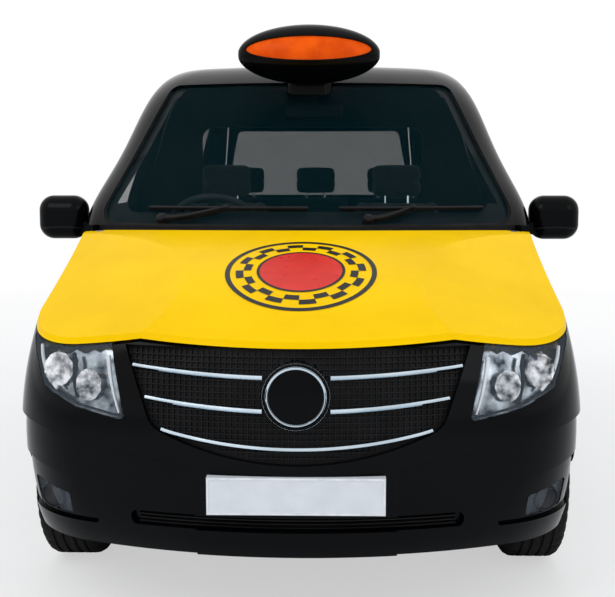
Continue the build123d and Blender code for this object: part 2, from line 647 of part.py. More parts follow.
def roof_sign():
    """The sign's housing with its foot on the roof, and its orange lens."""
    lens_prism = front_prism(Pos(0, LENS_Z) * Ellipse(*LENS_HALF), (-FAR, SIGN_AT[1]))
    rim_prism = front_prism(Pos(0, LENS_Z) * Ellipse(LENS_HALF[0] - SEAT_GAP, LENS_HALF[1] - SEAT_GAP),
                            (-FAR, SIGN_AT[1]))
    foot_z = (1700.0, SIGN_AT[2])
    foot = span((-SIGN_FOOT[0] / 2, SIGN_FOOT[0] / 2),
                (SIGN_FOOT_Y - SIGN_FOOT[1] / 2, SIGN_FOOT_Y + SIGN_FOOT[1] / 2), foot_z)
    foot = fillet(foot.edges().filter_by(Axis.Z), 40)
    housing = sign_body(0) + (foot - skin(-SEAT_GAP, True))
    shell_cut = (sign_body(10) - sign_body(-14)) & lens_prism
    lens = (sign_body(-4) - sign_body(-14 + SEAT_GAP)) & rim_prism
    return housing - shell_cut, lens


# Door mirror on the left: the head's size and place, and its arm
MIRROR_SIZE = (205.0, 140.0, 182.0)
MIRROR_AT = (1030.0, -1040.0, 1222.0)
MIRROR_R = 62.0


def door_mirror():
    """One mirror head on an arm that stands on the door's skin."""
    head = rounded(MIRROR_SIZE, MIRROR_AT, MIRROR_R)
    arm_y = (MIRROR_AT[1] - 45, MIRROR_AT[1] + 35)
    arm = span((860, MIRROR_AT[0] - 40), arm_y, (MIRROR_AT[2] - 70, MIRROR_AT[2] - 20))
    solid = head + arm
    return solid - skin(-SEAT_GAP) - skin(-SEAT_GAP, True)


# Seats: the cushion and back sizes, then the rows
CUSHION = (500.0, 500.0, 130.0)
BACK = (480.0, 120.0, 620.0)
HEAD_REST = (260.0, 90.0, 180.0)
SEAT_Z = 720.0
FRONT_SEAT_Y = -560.0
BENCH_Y = 850.0
BENCH_WIDTH = 1380.0
SEAT_R = 40.0
BACK_TILT = 12.0


def seat(x, y, width, heads, base_z=FLOOR_Z[1], facing=1):
    """A seat with a box base, cushion, tilted back and head restraints. Facing 1 looks to the front."""
    cushion = rounded((width, CUSHION[1], CUSHION[2]), (0, 0, SEAT_Z - CUSHION[2] / 2), SEAT_R)
    base = span((-width / 2 + 60, width / 2 - 60), (-180, 180), (base_z + SEAT_GAP, SEAT_Z - CUSHION[2] / 2))
    back_z = SEAT_Z + BACK[2] / 2 - 40
    back = rounded((width - 20, BACK[1], BACK[2]), (0, 0, 0), SEAT_R)
    solid = cushion + base + Pos(0, 240, back_z) * Rotation(-BACK_TILT, 0, 0) * back
    for offset_x in heads:
        rest = rounded(HEAD_REST, (0, 0, 0), SEAT_R)
        solid = solid + Pos(offset_x, 325, back_z + BACK[2] / 2 + 70) * Rotation(-BACK_TILT, 0, 0) * rest
    return Pos(x, y, 0) * Rotation(0, 0, 0 if facing > 0 else 180) * solid


def jump_seat(x):
    """A tip-up seat folded against the partition: a thin back and a raised cushion."""
    back = rounded((400, 60, 560), (x, PARTITION_Y + 15 + 30 + SEAT_GAP, 900), 25)
    pad = rounded((400, 70, 380), (x, PARTITION_Y + 15 + 30 + SEAT_GAP + 60, 720), 30)
    return back + pad


PARTITION_WALL = 30.0
PARTITION_WINDOW_Z = (1180.0, 1640.0)
PARTITION_WINDOW_HALF = 560.0


def inside_body(deep, y):
    """The cabin's hollow between two y planes, from floor to roof."""
    lower = skin(deep) & span((-1200, 1200), y, (FLOOR_Z[1] + SEAT_GAP, BELT_Z))
    upper = skin(deep, True) & span((-1200, 1200), y, (BELT_Z, FAR))
    return lower + upper


def partition():
    """The screen behind the driver, with a window, and its pane."""
    y = (PARTITION_Y - PARTITION_WALL / 2, PARTITION_Y + PARTITION_WALL / 2)
    screen = inside_body(WALL + 2 + SEAT_GAP, y)
    face = trapezium((PARTITION_WINDOW_HALF, PARTITION_WINDOW_HALF), PARTITION_WINDOW_Z, 60)
    pane_face = trapezium((PARTITION_WINDOW_HALF, PARTITION_WINDOW_HALF), PARTITION_WINDOW_Z, 60, -SEAT_GAP)
    glass = front_prism(pane_face, (PARTITION_Y - 3, PARTITION_Y + 3))
    return screen - front_prism(face, (-500, 500)), glass


DASH_PROFILE = [(-1270, 700), (-900, 700), (-860, 900), (-930, 1120), (-1080, 1185), (-1270, 1148)]
DASH_HALF = 800.0
STEER_AT = (DRIVER_X, -770.0, 1180.0)
STEER_R = 185.0
COLUMN_R = 26.0
COLUMN_LENGTH = 240.0
STEER_TILT = -42.0


def dashboard():
    """The dashboard across the cabin with its instrument hood."""
    face = fillet(make_face(Polyline(*DASH_PROFILE, close=True)).vertices()[2:5], 40)
    plane = Plane(origin=(-DASH_HALF, 0, 0), x_dir=(0, 1, 0), z_dir=(1, 0, 0))
    board = extrude(plane * face, 2 * DASH_HALF)
    hood = rounded((360, 150, 90), (DRIVER_X, -1000, 1190), 35)
    leg = span((-DASH_HALF + 100, DASH_HALF - 100), (FIREWALL_Y + SEAT_GAP, -1200), (700, 1000))
    bore = Pos(0, 0, -COLUMN_LENGTH / 2) * Cylinder(COLUMN_R + SEAT_GAP, COLUMN_LENGTH + 20)
    way = Pos(*STEER_AT) * Rotation(STEER_TILT, 0, 0) * bore
    return ((board + hood + leg) & inside_body(WALL + SEAT_GAP, (FIREWALL_Y + SEAT_GAP, 0))) - way


def steering_wheel():
    """The rim, spokes, boss and column, tilted towards the driver."""
    rim = Torus(STEER_R, 15)
    boss = Cylinder(60, 44)
    spoke = Box(2 * STEER_R, 34, 16)
    lower_spoke = Pos(0, -STEER_R / 2, 0) * Box(40, STEER_R, 16)
    column = Pos(0, 0, -COLUMN_LENGTH / 2) * Cylinder(COLUMN_R, COLUMN_LENGTH)
    wheel_solid = rim + boss + spoke + lower_spoke + column
    return Pos(*STEER_AT) * Rotation(STEER_TILT, 0, 0) * wheel_solid


# Running gear
RAIL_X = (395.0, 470.0)
RAIL_Z = (282.0, 372.0)
RAIL_FRONT_Y = -2440.0
SUBFRAME_Z = (190.0, RAIL_Z[0] - SEAT_GAP)
ENGINE_SIZE = (640.0, 640.0, 520.0)
ENGINE_AT = (0.0, -1850.0, 640.0)
SPRING_R = 58.0
EXHAUST_X = -260.0
EXHAUST_Y = (-1200.0, 2240.0)
EXHAUST_Z = 195.0
EXHAUST_R = 29.0
SILENCER = (300.0, 620.0, 130.0)
SILENCER_Y = 700.0
BEAM_Z = 276.0
BEAM_R = 44.0


def chassis():
    """The floor pan with the two front rails that carry the engine, bumper and subframe."""
    rail = span(RAIL_X, (RAIL_FRONT_Y, FIREWALL_Y + 60), RAIL_Z) & skin(BUMPER_WALL + SEAT_GAP)
    bulkhead = span((0, 1200), (FIREWALL_Y - FIREWALL_WALL - SEAT_GAP, FIREWALL_Y + SEAT_GAP),
                    (FLOOR_Z[0] - SEAT_GAP, 900))
    return floor_pan() + both(rail - bulkhead)


def engine():
    """The engine and gearbox as one plain block on its mounts."""
    block = rounded(ENGINE_SIZE, ENGINE_AT, 40)
    gearbox = span((-150, 150), (ENGINE_AT[1] + 200, FIREWALL_Y - FIREWALL_WALL - 60), (400, 640))
    mount = span((-RAIL_X[1] + 10, RAIL_X[1] - 10), (ENGINE_AT[1] - 60, ENGINE_AT[1] + 60),
                 (RAIL_Z[1] + SEAT_GAP, RAIL_Z[1] + 70))
    return block + gearbox + mount


def front_subframe():
    """The cross member under the rails, with a lower arm and ball pin to each wheel."""
    member = span((-RAIL_X[1], RAIL_X[1]), (FRONT_AXLE_Y - 70, FRONT_AXLE_Y + 70), SUBFRAME_Z)
    ball_x, ball_z = LOWER_BALL
    arm = span((RAIL_X[1] - 20, ball_x), (FRONT_AXLE_Y - 28, FRONT_AXLE_Y + 28), (ball_z - 5, ball_z + 25))
    eye = Pos(ball_x, FRONT_AXLE_Y, ball_z + 10) * Cylinder(36, 30)
    return member + both(arm + eye + on_kingpin(PIN_R, (5, 74)))


def front_knuckle():
    """The left steering knuckle: upright, hub carrier, stub axle, strut and spring."""
    ball_x, ball_z = LOWER_BALL
    upright_y = (FRONT_AXLE_Y - 42, FRONT_AXLE_Y + 42)
    upright = span((ball_x - 50, ball_x + 22), upright_y, (ball_z + 40, TYRE_R + 70))
    carrier = Pos(ball_x + 22, FRONT_AXLE_Y, TYRE_R) * Rotation(0, 90, 0) * Cylinder(62, 44)
    strut = on_kingpin(26, (160, 690)) + on_kingpin(SPRING_R, (525, 690))
    strut = strut + on_kingpin(PIN_R, (650, TOWER_TOP))
    solid = upright + carrier + strut + stub_axle(ball_x + 20, FRONT_AXLE_Y)
    return solid - on_kingpin(PIN_R + HUB_FIT, (0, 80))


def stub_axle(start_x, y):
    """The left stub that the wheel's hub turns on."""
    end_x = WHEEL_X + RIM_WIDTH / 2 - 42
    return Pos((start_x + end_x) / 2, y, TYRE_R) * Rotation(0, 90, 0) * Cylinder(STUB_R, end_x - start_x)


def rear_axle():
    """The rear beam, trailing arms and stub axles."""
    beam = Pos(0, REAR_AXLE_Y, BEAM_Z) * Rotation(0, 90, 0) * Cylinder(BEAM_R, 1240)
    arm_z = (BEAM_Z - BEAM_R, FLOOR_Z[0] - 2 * SEAT_GAP)
    arm = span((560, 620), (REAR_AXLE_Y - 480, REAR_AXLE_Y + 40), arm_z)
    post = span((560, 690), (REAR_AXLE_Y - 50, REAR_AXLE_Y + 50), (BEAM_Z - BEAM_R, TYRE_R + 60))
    return beam + both(arm + post + stub_axle(660, REAR_AXLE_Y))


def exhaust():
    """The exhaust pipe that runs under the rear beam, with its silencer and hangers."""
    bar = Rotation(90, 0, 0) * Cylinder(EXHAUST_R, EXHAUST_Y[1] - EXHAUST_Y[0])
    pipe = Pos(EXHAUST_X, sum(EXHAUST_Y) / 2, EXHAUST_Z) * bar
    bore = Pos(EXHAUST_X, EXHAUST_Y[1], EXHAUST_Z) * Rotation(90, 0, 0) * Cylinder(EXHAUST_R - 3, 300)
    silencer = rounded(SILENCER, (EXHAUST_X, SILENCER_Y, EXHAUST_Z + 40), 50)
    solid = pipe + silencer
    for y in (SILENCER_Y, EXHAUST_Y[1] - 100):
        hanger_z = (EXHAUST_Z, FLOOR_Z[0] - SEAT_GAP)
        solid = solid + span((EXHAUST_X - 15, EXHAUST_X + 15), (y - 20, y + 20), hanger_z)
    return solid - bore


def fuel_tank():
    """The fuel tank under the left of the floor."""
    return rounded((620, 900, 130), (420, 250, FLOOR_Z[0] - SEAT_GAP - 65), 45)


PLATE = (520.0, 8.0, 111.0)
PLATE_Z = 470.0
REAR_PLATE_Z = 900.0


def plates():
    """Blank number plates: the front one on the bumper, the rear one on the tailgate."""
    front = span((-PLATE[0] / 2, PLATE[0] / 2), (NOSE_Y, NOSE_Y + 60),
                 (PLATE_Z - PLATE[2] / 2, PLATE_Z + PLATE[2] / 2)) - skin(-SEAT_GAP)
    rear = span((-PLATE[0] / 2, PLATE[0] / 2), (TAIL_Y - 60, TAIL_Y),
                (REAR_PLATE_Z - PLATE[2] / 2, REAR_PLATE_Z + PLATE[2] / 2)) - skin(-SEAT_GAP)
    return front, rear


# Wipers: each row is the pivot x, the blade's inner x and outer x
WIPERS = [(-560.0, -620.0, 10.0), (240.0, 130.0, 700.0)]
WIPER_Z = 1232.0


def wipers():
    """Two parked wiper blades that lie just over the windscreen's foot."""
    band = layer(-16, -4, True)
    foot_band = layer(-16, GLASS_DEPTH - SEAT_GAP, True)
    reach_y = (-FAR, -900)
    made = []
    for pivot, inner, outer in WIPERS:
        middle = (pivot + outer) / 2
        blade_face = Pos((inner + outer) / 2, WIPER_Z + 26) * Rectangle(outer - inner, 14)
        arm_face = Pos(middle, WIPER_Z + 6) * Rectangle(abs(outer - pivot) * 0.6, 14)
        link_face = Pos(middle, WIPER_Z + 10) * Rectangle(24, 50)
        wiper = band & front_prism(blade_face, reach_y)
        wiper = wiper + (band & front_prism(arm_face, reach_y))
        wiper = wiper + (foot_band & front_prism(link_face, reach_y))
        made.extend(wiper.solids())
    return Compound(made)


def cabin_mirror():
    """The inside mirror on its stalk under the windscreen's head."""
    head = rounded((270, 40, 80), (20, -600, 1690), 18)
    stalk = span((5, 35), (-640, -600), (1690, 1800))
    return (head + stalk) & skin(GLASS_DEPTH + GLASS_WALL + SEAT_GAP, True)


os.makedirs("parts", exist_ok=True)
NODES = {}

left = doors()
NODES["front_door_left"] = left["front_panel"]
NODES["front_door_right"] = right_of(left["front_panel"])
NODES["front_door_glass_left"] = left["front_glass"]
NODES["front_door_glass_right"] = right_of(left["front_glass"])
NODES["mirror_left"] = door_mirror()
NODES["mirror_right"] = right_of(NODES["mirror_left"])
NODES["sliding_doors"] = both(left["sliding_panel"])
NODES["side_glass"] = both(Compound([*left["sliding_glass"].solids(), *left["quarter_glass"].solids()]))
NODES["body_sides"] = both(body_side())
NODES["bonnet"] = bonnet()
wing, bumper = front_end()
NODES["front_wings"] = both(wing)
NODES["front_bumper"] = bumper
NODES["grille"], NODES["grille_bars"], NODES["grille_boss"] = grille()
NODES["roof_panel"] = roof()
NODES["rear_bumper"] = rear_bumper()
NODES["tailgate"], NODES["tailgate_glass"] = tailgate()
NODES["windscreen"] = layer(GLASS_DEPTH, GLASS_DEPTH + GLASS_WALL, True) & screen_prism(-SEAT_GAP)
headlamp = layer(LENS_DEPTH, LENS_WALL) & lamp_prism(HEADLAMP) & below_bonnet(BONNET_WALL + SHUT_GAP)
NODES["headlamps"] = both(headlamp)
NODES["fog_lamps"] = both(layer(FOG_DEPTH + 4, LENS_WALL) & lamp_prism(FOG_LAMP))
tail_lamp = lamp_prism(TAIL_LAMP, (TAIL_LAMP_Y + SEAT_GAP, FAR), -SEAT_GAP)
lower_lens = layer(LENS_DEPTH, LENS_WALL) & tail_lamp
upper_lens = layer(LENS_DEPTH, LENS_WALL, True) & tail_lamp
NODES["tail_lamps"] = both(lower_lens + upper_lens)
NODES["chassis"] = chassis()
front_well, rear_well = liners()
NODES["wheel_wells"] = both(Compound([*front_well.solids(), *rear_well.solids()]))
NODES["firewall"] = firewall()
NODES["roof_sign"], NODES["sign_lens"] = roof_sign()
NODES["front_plate"], NODES["rear_plate"] = plates()
NODES["wipers"] = wipers()
NODES["cabin_mirror"] = cabin_mirror()
NODES["front_seats"] = both(seat(-DRIVER_X, FRONT_SEAT_Y, CUSHION[0], (0,)))
NODES["rear_bench"] = seat(0, BENCH_Y, BENCH_WIDTH, (-440, 0, 440))
NODES["jump_seats"] = both(jump_seat(-DRIVER_X))
NODES["partition"], NODES["partition_glass"] = partition()
NODES["dashboard"] = dashboard()
NODES["steering_wheel"] = steering_wheel()
NODES["engine"] = engine()
NODES["front_subframe"] = front_subframe()
NODES["knuckle_left"] = front_knuckle()
NODES["knuckle_right"] = right_of(NODES["knuckle_left"])
NODES["rear_axle"] = rear_axle()
NODES["exhaust"] = exhaust()
NODES["fuel_tank"] = fuel_tank()
for side, sign in (("left", 1), ("right", -1)):
    for end, y in (("front", FRONT_AXLE_Y), ("rear", REAR_AXLE_Y)):
        NODES[f"tyre_{end}_{side}"], NODES[f"rim_{end}_{side}"] = wheel(sign * WHEEL_X, y)
for name, shape in NODES.items():
    export_step(solids_of(shape), f"parts/{name}.step")
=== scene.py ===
"""The taxi cab's looks: materials, soft seats, trim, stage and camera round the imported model."""
import json
import math

import bmesh
import bpy
from mathutils import Matrix, Vector
from mathutils.bvhtree import BVHTree


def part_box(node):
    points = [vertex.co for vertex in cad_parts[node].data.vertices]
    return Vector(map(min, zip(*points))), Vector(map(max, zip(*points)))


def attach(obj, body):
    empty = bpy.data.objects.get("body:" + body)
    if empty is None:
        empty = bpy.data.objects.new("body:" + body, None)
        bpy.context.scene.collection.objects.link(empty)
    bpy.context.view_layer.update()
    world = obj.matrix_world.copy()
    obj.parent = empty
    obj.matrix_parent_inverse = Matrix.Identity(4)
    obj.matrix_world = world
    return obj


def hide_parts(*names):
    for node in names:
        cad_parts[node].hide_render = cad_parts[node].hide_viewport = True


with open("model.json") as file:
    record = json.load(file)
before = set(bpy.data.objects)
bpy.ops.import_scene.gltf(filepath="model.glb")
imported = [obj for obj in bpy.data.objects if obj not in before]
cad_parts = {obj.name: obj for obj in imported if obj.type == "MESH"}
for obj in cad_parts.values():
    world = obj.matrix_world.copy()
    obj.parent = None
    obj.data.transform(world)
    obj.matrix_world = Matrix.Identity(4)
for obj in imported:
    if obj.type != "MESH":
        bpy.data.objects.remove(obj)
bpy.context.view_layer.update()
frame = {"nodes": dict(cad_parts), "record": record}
NODES = frame["nodes"]
CAB = "cab"

# The photograph's width and the camera that fits it: place in metres, turn in degrees, focal length
IMAGE_WIDTH = 615
CAMERA_AT = (0.103, -5.62, 1.39)
CAMERA_PITCH = 6.4
CAMERA_YAW = 1.3
FOCAL_PIXELS = 1084.0
SENSOR_MM = 36.0
SMOOTH_ANGLE = math.radians(32)
FORWARD = Vector((0, -1, 0))
BACK = Vector((0, 1, 0))
UP = Vector((0, 0, 1))
SIDES = ((1, "left"), (-1, "right"))


# Materials
def new_material(name, color, roughness, metallic=0.0, **sockets):
    """A principled material with its constant values set on the shader's own sockets."""
    material = bpy.data.materials.new(name)
    material.use_nodes = True
    shader = material.node_tree.nodes["Principled BSDF"]
    shader.inputs["Base Color"].default_value = (*color, 1.0)
    shader.inputs["Roughness"].default_value = roughness
    shader.inputs["Metallic"].default_value = metallic
    for socket, value in sockets.items():
        shader.inputs[socket.replace("_", " ")].default_value = value
    return material


def noise_of(material, scale, detail=4.0):
    """A noise texture in the object's own coordinates."""
    nodes, links = material.node_tree.nodes, material.node_tree.links
    place = nodes.new("ShaderNodeTexCoord")
    noise = nodes.new("ShaderNodeTexNoise")
    noise.inputs["Scale"].default_value = scale
    noise.inputs["Detail"].default_value = detail
    links.new(place.outputs["Object"], noise.inputs["Vector"])
    return noise


def vary_color(material, scale, dark, light):
    """The base colour drifts between two tones."""
    nodes, links = material.node_tree.nodes, material.node_tree.links
    ramp = nodes.new("ShaderNodeValToRGB")
    ramp.color_ramp.elements[0].position = 0.35
    ramp.color_ramp.elements[1].position = 0.65
    ramp.color_ramp.elements[0].color = (*dark, 1.0)
    ramp.color_ramp.elements[1].color = (*light, 1.0)
    links.new(noise_of(material, scale).outputs["Fac"], ramp.inputs["Fac"])
    links.new(ramp.outputs["Color"], nodes["Principled BSDF"].inputs["Base Color"])


def vary_roughness(material, scale, low, high):
    """The roughness drifts between two values, as handling and dust leave it."""
    nodes, links = material.node_tree.nodes, material.node_tree.links
    span = nodes.new("ShaderNodeMapRange")
    span.inputs["To Min"].default_value = low
    span.inputs["To Max"].default_value = high
    links.new(noise_of(material, scale).outputs["Fac"], span.inputs["Value"])
    links.new(span.outputs["Result"], nodes["Principled BSDF"].inputs["Roughness"])


def add_bump(material, scale, distance, strength=0.4, detail=4.0):
    """A fine relief from noise."""
    nodes, links = material.node_tree.nodes, material.node_tree.links
    bump = nodes.new("ShaderNodeBump")
    bump.inputs["Distance"].default_value = distance
    bump.inputs["Strength"].default_value = strength
    links.new(noise_of(material, scale, detail).outputs["Fac"], bump.inputs["Height"])
    links.new(bump.outputs["Normal"], nodes["Principled BSDF"].inputs["Normal"])


def paint(name, dark, light, ior, low=0.10, high=0.20):
    """Car paint: a slightly cloudy base under gloss, with faint orange peel."""
    material = new_material(name, light, low, IOR=ior)
    vary_color(material, 3.0, dark, light)
    vary_roughness(material, 5.0, low, high)
    add_bump(material, 900.0, 0.0002, 0.04)
    return material


def plastic(name, dark, light, roughness, grain):
    """Moulded plastic with a fine grain."""
    material = new_material(name, light, roughness, IOR=1.25)
    vary_color(material, 14.0, dark, light)
    vary_roughness(material, 30.0, roughness - 0.08, roughness + 0.08)
    add_bump(material, grain, 0.0006, 0.25)
    return material


def metal(name, dark, light, low, high, scale):
    """Bare or plated metal with an uneven polish."""
    material = new_material(name, light, low, metallic=1.0)
    vary_color(material, scale, dark, light)
    vary_roughness(material, scale * 2, low, high)
    return material


def glass(name, color, alpha, ior=1.25, roughness=0.02):
    """Thin tinted glass: the tint shows through its alpha."""
    material = new_material(name, color, roughness, Alpha=alpha, IOR=ior)
    vary_roughness(material, 2.0, roughness, roughness + 0.03)
    return material


def cloth(name, dark, light):
    """Woven seat cloth: two crossed wave patterns make the weave."""
    material = new_material(name, light, 0.9, Sheen_Weight=0.25)
    vary_color(material, 60.0, dark, light)
    nodes, links = material.node_tree.nodes, material.node_tree.links
    place = nodes.new("ShaderNodeTexCoord")
    total = nodes.new("ShaderNodeMath")
    for index, axis in enumerate(("X", "Z")):
        wave = nodes.new("ShaderNodeTexWave")
        wave.bands_direction = axis
        wave.inputs["Scale"].default_value = 160.0
        wave.inputs["Distortion"].default_value = 0.6
        links.new(place.outputs["Object"], wave.inputs["Vector"])
        links.new(wave.outputs["Fac"], total.inputs[index])
    bump = nodes.new("ShaderNodeBump")
    bump.inputs["Distance"].default_value = 0.0015
    bump.inputs["Strength"].default_value = 0.5
    links.new(total.outputs["Value"], bump.inputs["Height"])
    links.new(bump.outputs["Normal"], nodes["Principled BSDF"].inputs["Normal"])
    return material


def rubber(name):
    """Rubber: dull, dusty and finely pitted."""
    material = new_material(name, (0.02, 0.02, 0.02), 0.8, IOR=1.2)
    vary_color(material, 9.0, (0.006, 0.006, 0.006), (0.014, 0.0135, 0.013))
    vary_roughness(material, 20.0, 0.65, 0.9)
    add_bump(material, 300.0, 0.0008, 0.3)
    return material


LOOKS = {
    "black_paint": paint("black_paint", (0.0008, 0.0010, 0.0014), (0.0016, 0.0020, 0.0028), 1.18, 0.07, 0.14),
    "yellow_paint": paint("yellow_paint", (0.90, 0.545, 0.001), (0.97, 0.60, 0.002), 1.07, 0.14, 0.24),
    "clear_glass": glass("clear_glass", (0.001, 0.015, 0.020), 0.30, 1.06),
    "dark_glass": glass("dark_glass", (0.003, 0.005, 0.006), 0.40, 1.15),
    "chrome": metal("chrome", (0.52, 0.62, 0.70), (0.70, 0.80, 0.88), 0.06, 0.16, 6.0),
    "black_plastic": plastic("black_plastic", (0.003, 0.003, 0.0035), (0.007, 0.007, 0.008), 0.55, 500.0),
    "gloss_black": paint("gloss_black", (0.001, 0.0011, 0.0014), (0.002, 0.0024, 0.003), 1.16),
    "orange_lens": new_material("orange_lens", (0.88, 0.10, 0.004), 0.22, IOR=1.12),
    "lamp_clear": glass("lamp_clear", (0.35, 0.42, 0.50), 0.10, 1.2),
    "lamp_red": new_material("lamp_red", (0.34, 0.006, 0.008), 0.12, IOR=1.4),
    "plate_white": plastic("plate_white", (0.64, 0.67, 0.71), (0.70, 0.73, 0.77), 0.4, 700.0),
    "seat_cloth": cloth("seat_cloth", (0.008, 0.009, 0.011), (0.022, 0.024, 0.028)),
    "steel": metal("steel", (0.12, 0.12, 0.13), (0.24, 0.24, 0.25), 0.35, 0.6, 12.0),
    "cast_iron": metal("cast_iron", (0.03, 0.03, 0.032), (0.07, 0.07, 0.075), 0.55, 0.8, 25.0),
    "alloy": metal("alloy", (0.42, 0.43, 0.45), (0.58, 0.59, 0.61), 0.2, 0.35, 18.0),
    "tyre": rubber("tyre"),
    "floor_mat": plastic("floor_mat", (0.010, 0.010, 0.011), (0.022, 0.022, 0.025), 0.75, 260.0),
    "seal": rubber("seal"),
    "lamp_bowl": metal("lamp_bowl", (0.03, 0.035, 0.045), (0.92, 0.94, 0.97), 0.05, 0.16, 34.0),
    "lamp_house": metal("lamp_house", (0.010, 0.014, 0.020), (0.50, 0.56, 0.62), 0.10, 0.25, 17.0),
    "fog_house": plastic("fog_house", (0.010, 0.011, 0.013), (0.030, 0.032, 0.036), 0.25, 300.0),
    "lamp_amber": new_material("lamp_amber", (0.78, 0.22, 0.01), 0.15, IOR=1.4),
    "lamp_white": new_material("lamp_white", (0.75, 0.77, 0.80), 0.15, IOR=1.4),
    "mirror_face": metal("mirror_face", (0.80, 0.82, 0.84), (0.88, 0.90, 0.92), 0.02, 0.05, 4.0),
    "wheel_leather": plastic("wheel_leather", (0.045, 0.050, 0.055), (0.085, 0.092, 0.10), 0.45, 400.0),
    "red_film": plastic("red_film", (0.62, 0.020, 0.014), (0.70, 0.028, 0.018), 0.3, 800.0),
    "black_film": plastic("black_film", (0.006, 0.006, 0.007), (0.012, 0.012, 0.013), 0.3, 800.0),
}
vary_color(LOOKS["orange_lens"], 12.0, (0.74, 0.075, 0.003), (0.92, 0.115, 0.005))
vary_color(LOOKS["lamp_red"], 30.0, (0.26, 0.004, 0.006), (0.40, 0.008, 0.010))
vary_color(LOOKS["lamp_amber"], 30.0, (0.70, 0.17, 0.006), (0.84, 0.26, 0.014))
vary_color(LOOKS["lamp_white"], 30.0, (0.66, 0.69, 0.72), (0.80, 0.82, 0.85))


def dress_nodes():
    """Every CAD node takes its slot's material and smooth shading with crisp edges."""
    for entry in frame["record"]["subparts"]:
        node = NODES[entry["node"]]
        node.data.materials.clear()
        node.data.materials.append(LOOKS[entry["material_slot"]])
        for polygon in node.data.polygons:
            polygon.use_smooth = True
        node.data.set_sharp_from_angle(angle=SMOOTH_ANGLE)
    NODES["steering_wheel"].data.materials[0] = LOOKS["wheel_leather"]
    NODES["firewall"].data.materials[0] = LOOKS["black_plastic"]


# Mesh helpers
def tree_of(*names):
    """One search tree over the named nodes' meshes."""
    points, faces = [], []
    for name in names:
        mesh = NODES[name].data
        start = len(points)
        points.extend(vertex.co.copy() for vertex in mesh.vertices)
        faces.extend([start + index for index in polygon.vertices] for polygon in mesh.polygons)
    return BVHTree.FromPolygons(points, faces)


def touch(tree, point, way):
    """The first place on the tree from a far point along a way, with its outward normal."""
    start = Vector(point) - way * 6.0
    place, normal, _, _ = tree.ray_cast(start, way)
    if place is None:
        place, normal, _, _ = tree.find_nearest(Vector(point))
    if normal.dot(way) > 0:
        normal = -normal
    return place, normal


def add_piece(name, points, faces, material, body, smooth=True):
    """A mesh piece with its material and its body."""
    mesh = bpy.data.meshes.new(name)
    mesh.from_pydata([tuple(p) for p in points], [], faces)
    mesh.validate()
    shape = bmesh.new()
    shape.from_mesh(mesh)
    bmesh.ops.recalc_face_normals(shape, faces=shape.faces)
    shape.to_mesh(mesh)
    shape.free()
    return add_object(name, mesh, material, body, smooth)


def add_object(name, mesh, material, body, smooth=True):
    """An object for a mesh, riding on its body."""
    mesh.materials.clear()
    mesh.materials.append(material)
    if smooth:
        for polygon in mesh.polygons:
            polygon.use_smooth = True
        mesh.set_sharp_from_angle(angle=SMOOTH_ANGLE)
    piece = bpy.data.objects.new(name, mesh)
    bpy.context.collection.objects.link(piece)
    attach(piece, body)
    return piece


class Builder:
    """Collects points and faces of several forms for one piece."""

    def __init__(self):
        self.points = []
        self.faces = []

    def grid(self, rows, ringed, closed):
        """Joins rows of equal count by quads. A row may be a ring, and the last row may meet the first."""
        start, count = len(self.points), len(rows[0])
        for row in rows:
            self.points.extend(Vector(p) for p in row)
        for i in range(len(rows) if closed else len(rows) - 1):
            a, b = start + i * count, start + (i + 1) % len(rows) * count
            for j in range(count if ringed else count - 1):
                k = (j + 1) % count
                self.faces.append((a + j, a + k, b + k, b + j))

    def rings(self, rings, closed=False):
        """Joins rings and closes the ends, unless the last ring meets the first."""
        start, count = len(self.points), len(rings[0])
        self.grid(rings, True, closed)
        if not closed:
            self.faces.append(tuple(range(start, start + count)))
            self.faces.append(tuple(range(len(self.points) - count, len(self.points))))

    def sweep(self, path, profile, closed=False):
        """Carries a profile of across and out sizes along a path of places and normals."""
        rings = []
        total = len(path)
        for i, (place, normal) in enumerate(path):
            ahead = path[(i + 1) % total][0] if closed or i + 1 < total else place
            behind = path[i - 1][0] if closed or i > 0 else place
            along = (ahead - behind).normalized()
            out = (normal - along * normal.dot(along)).normalized()
            across = along.cross(out)
            size = profile(i / max(1, total - 1)) if callable(profile) else profile
            rings.append([place + across * a + out * b for a, b in size])
        self.rings(rings, closed)

    def revolve(self, centre, axis, profile, steps, closed_profile=False):
        """Turns a profile of along and radius sizes about an axis."""
        axis = Vector(axis).normalized()
        first = axis.orthogonal().normalized()
        second = axis.cross(first)
        rings = []
        for i in range(steps):
            angle = 2 * math.pi * i / steps
            out = first * math.cos(angle) + second * math.sin(angle)
            rings.append([Vector(centre) + axis * along + out * radius for along, radius in profile])
        self.grid(rings, closed_profile, True)

    def make(self, name, look, body=CAB, slot=None, smooth=True):
        """Makes the piece. Its slot argument is not used."""
        return add_piece(name, self.points, self.faces, LOOKS[look], body, smooth)


def strip_profile(width, height, foot=0.002):
    """A low strip with softened shoulders, sunk a little at its foot."""
    half = width / 2
    return [(-half, -foot), (-half, height * 0.55), (-half * 0.7, height), (half * 0.7, height),
            (half, height * 0.55), (half, -foot)]


def round_profile(radius, count=10):
    """A round section."""
    return [(radius * math.cos(2 * math.pi * i / count), radius * math.sin(2 * math.pi * i / count))
            for i in range(count)]


def oval_profile(half_width, half_height, count=14):
    """A flat round section."""
    return [(half_width * math.cos(2 * math.pi * i / count), half_height * math.sin(2 * math.pi * i / count))
            for i in range(count)]


def straight(start, end, count):
    """Evenly spaced points along a straight line."""
    start, end = Vector(start), Vector(end)
    return [start.lerp(end, k / count) for k in range(count + 1)]


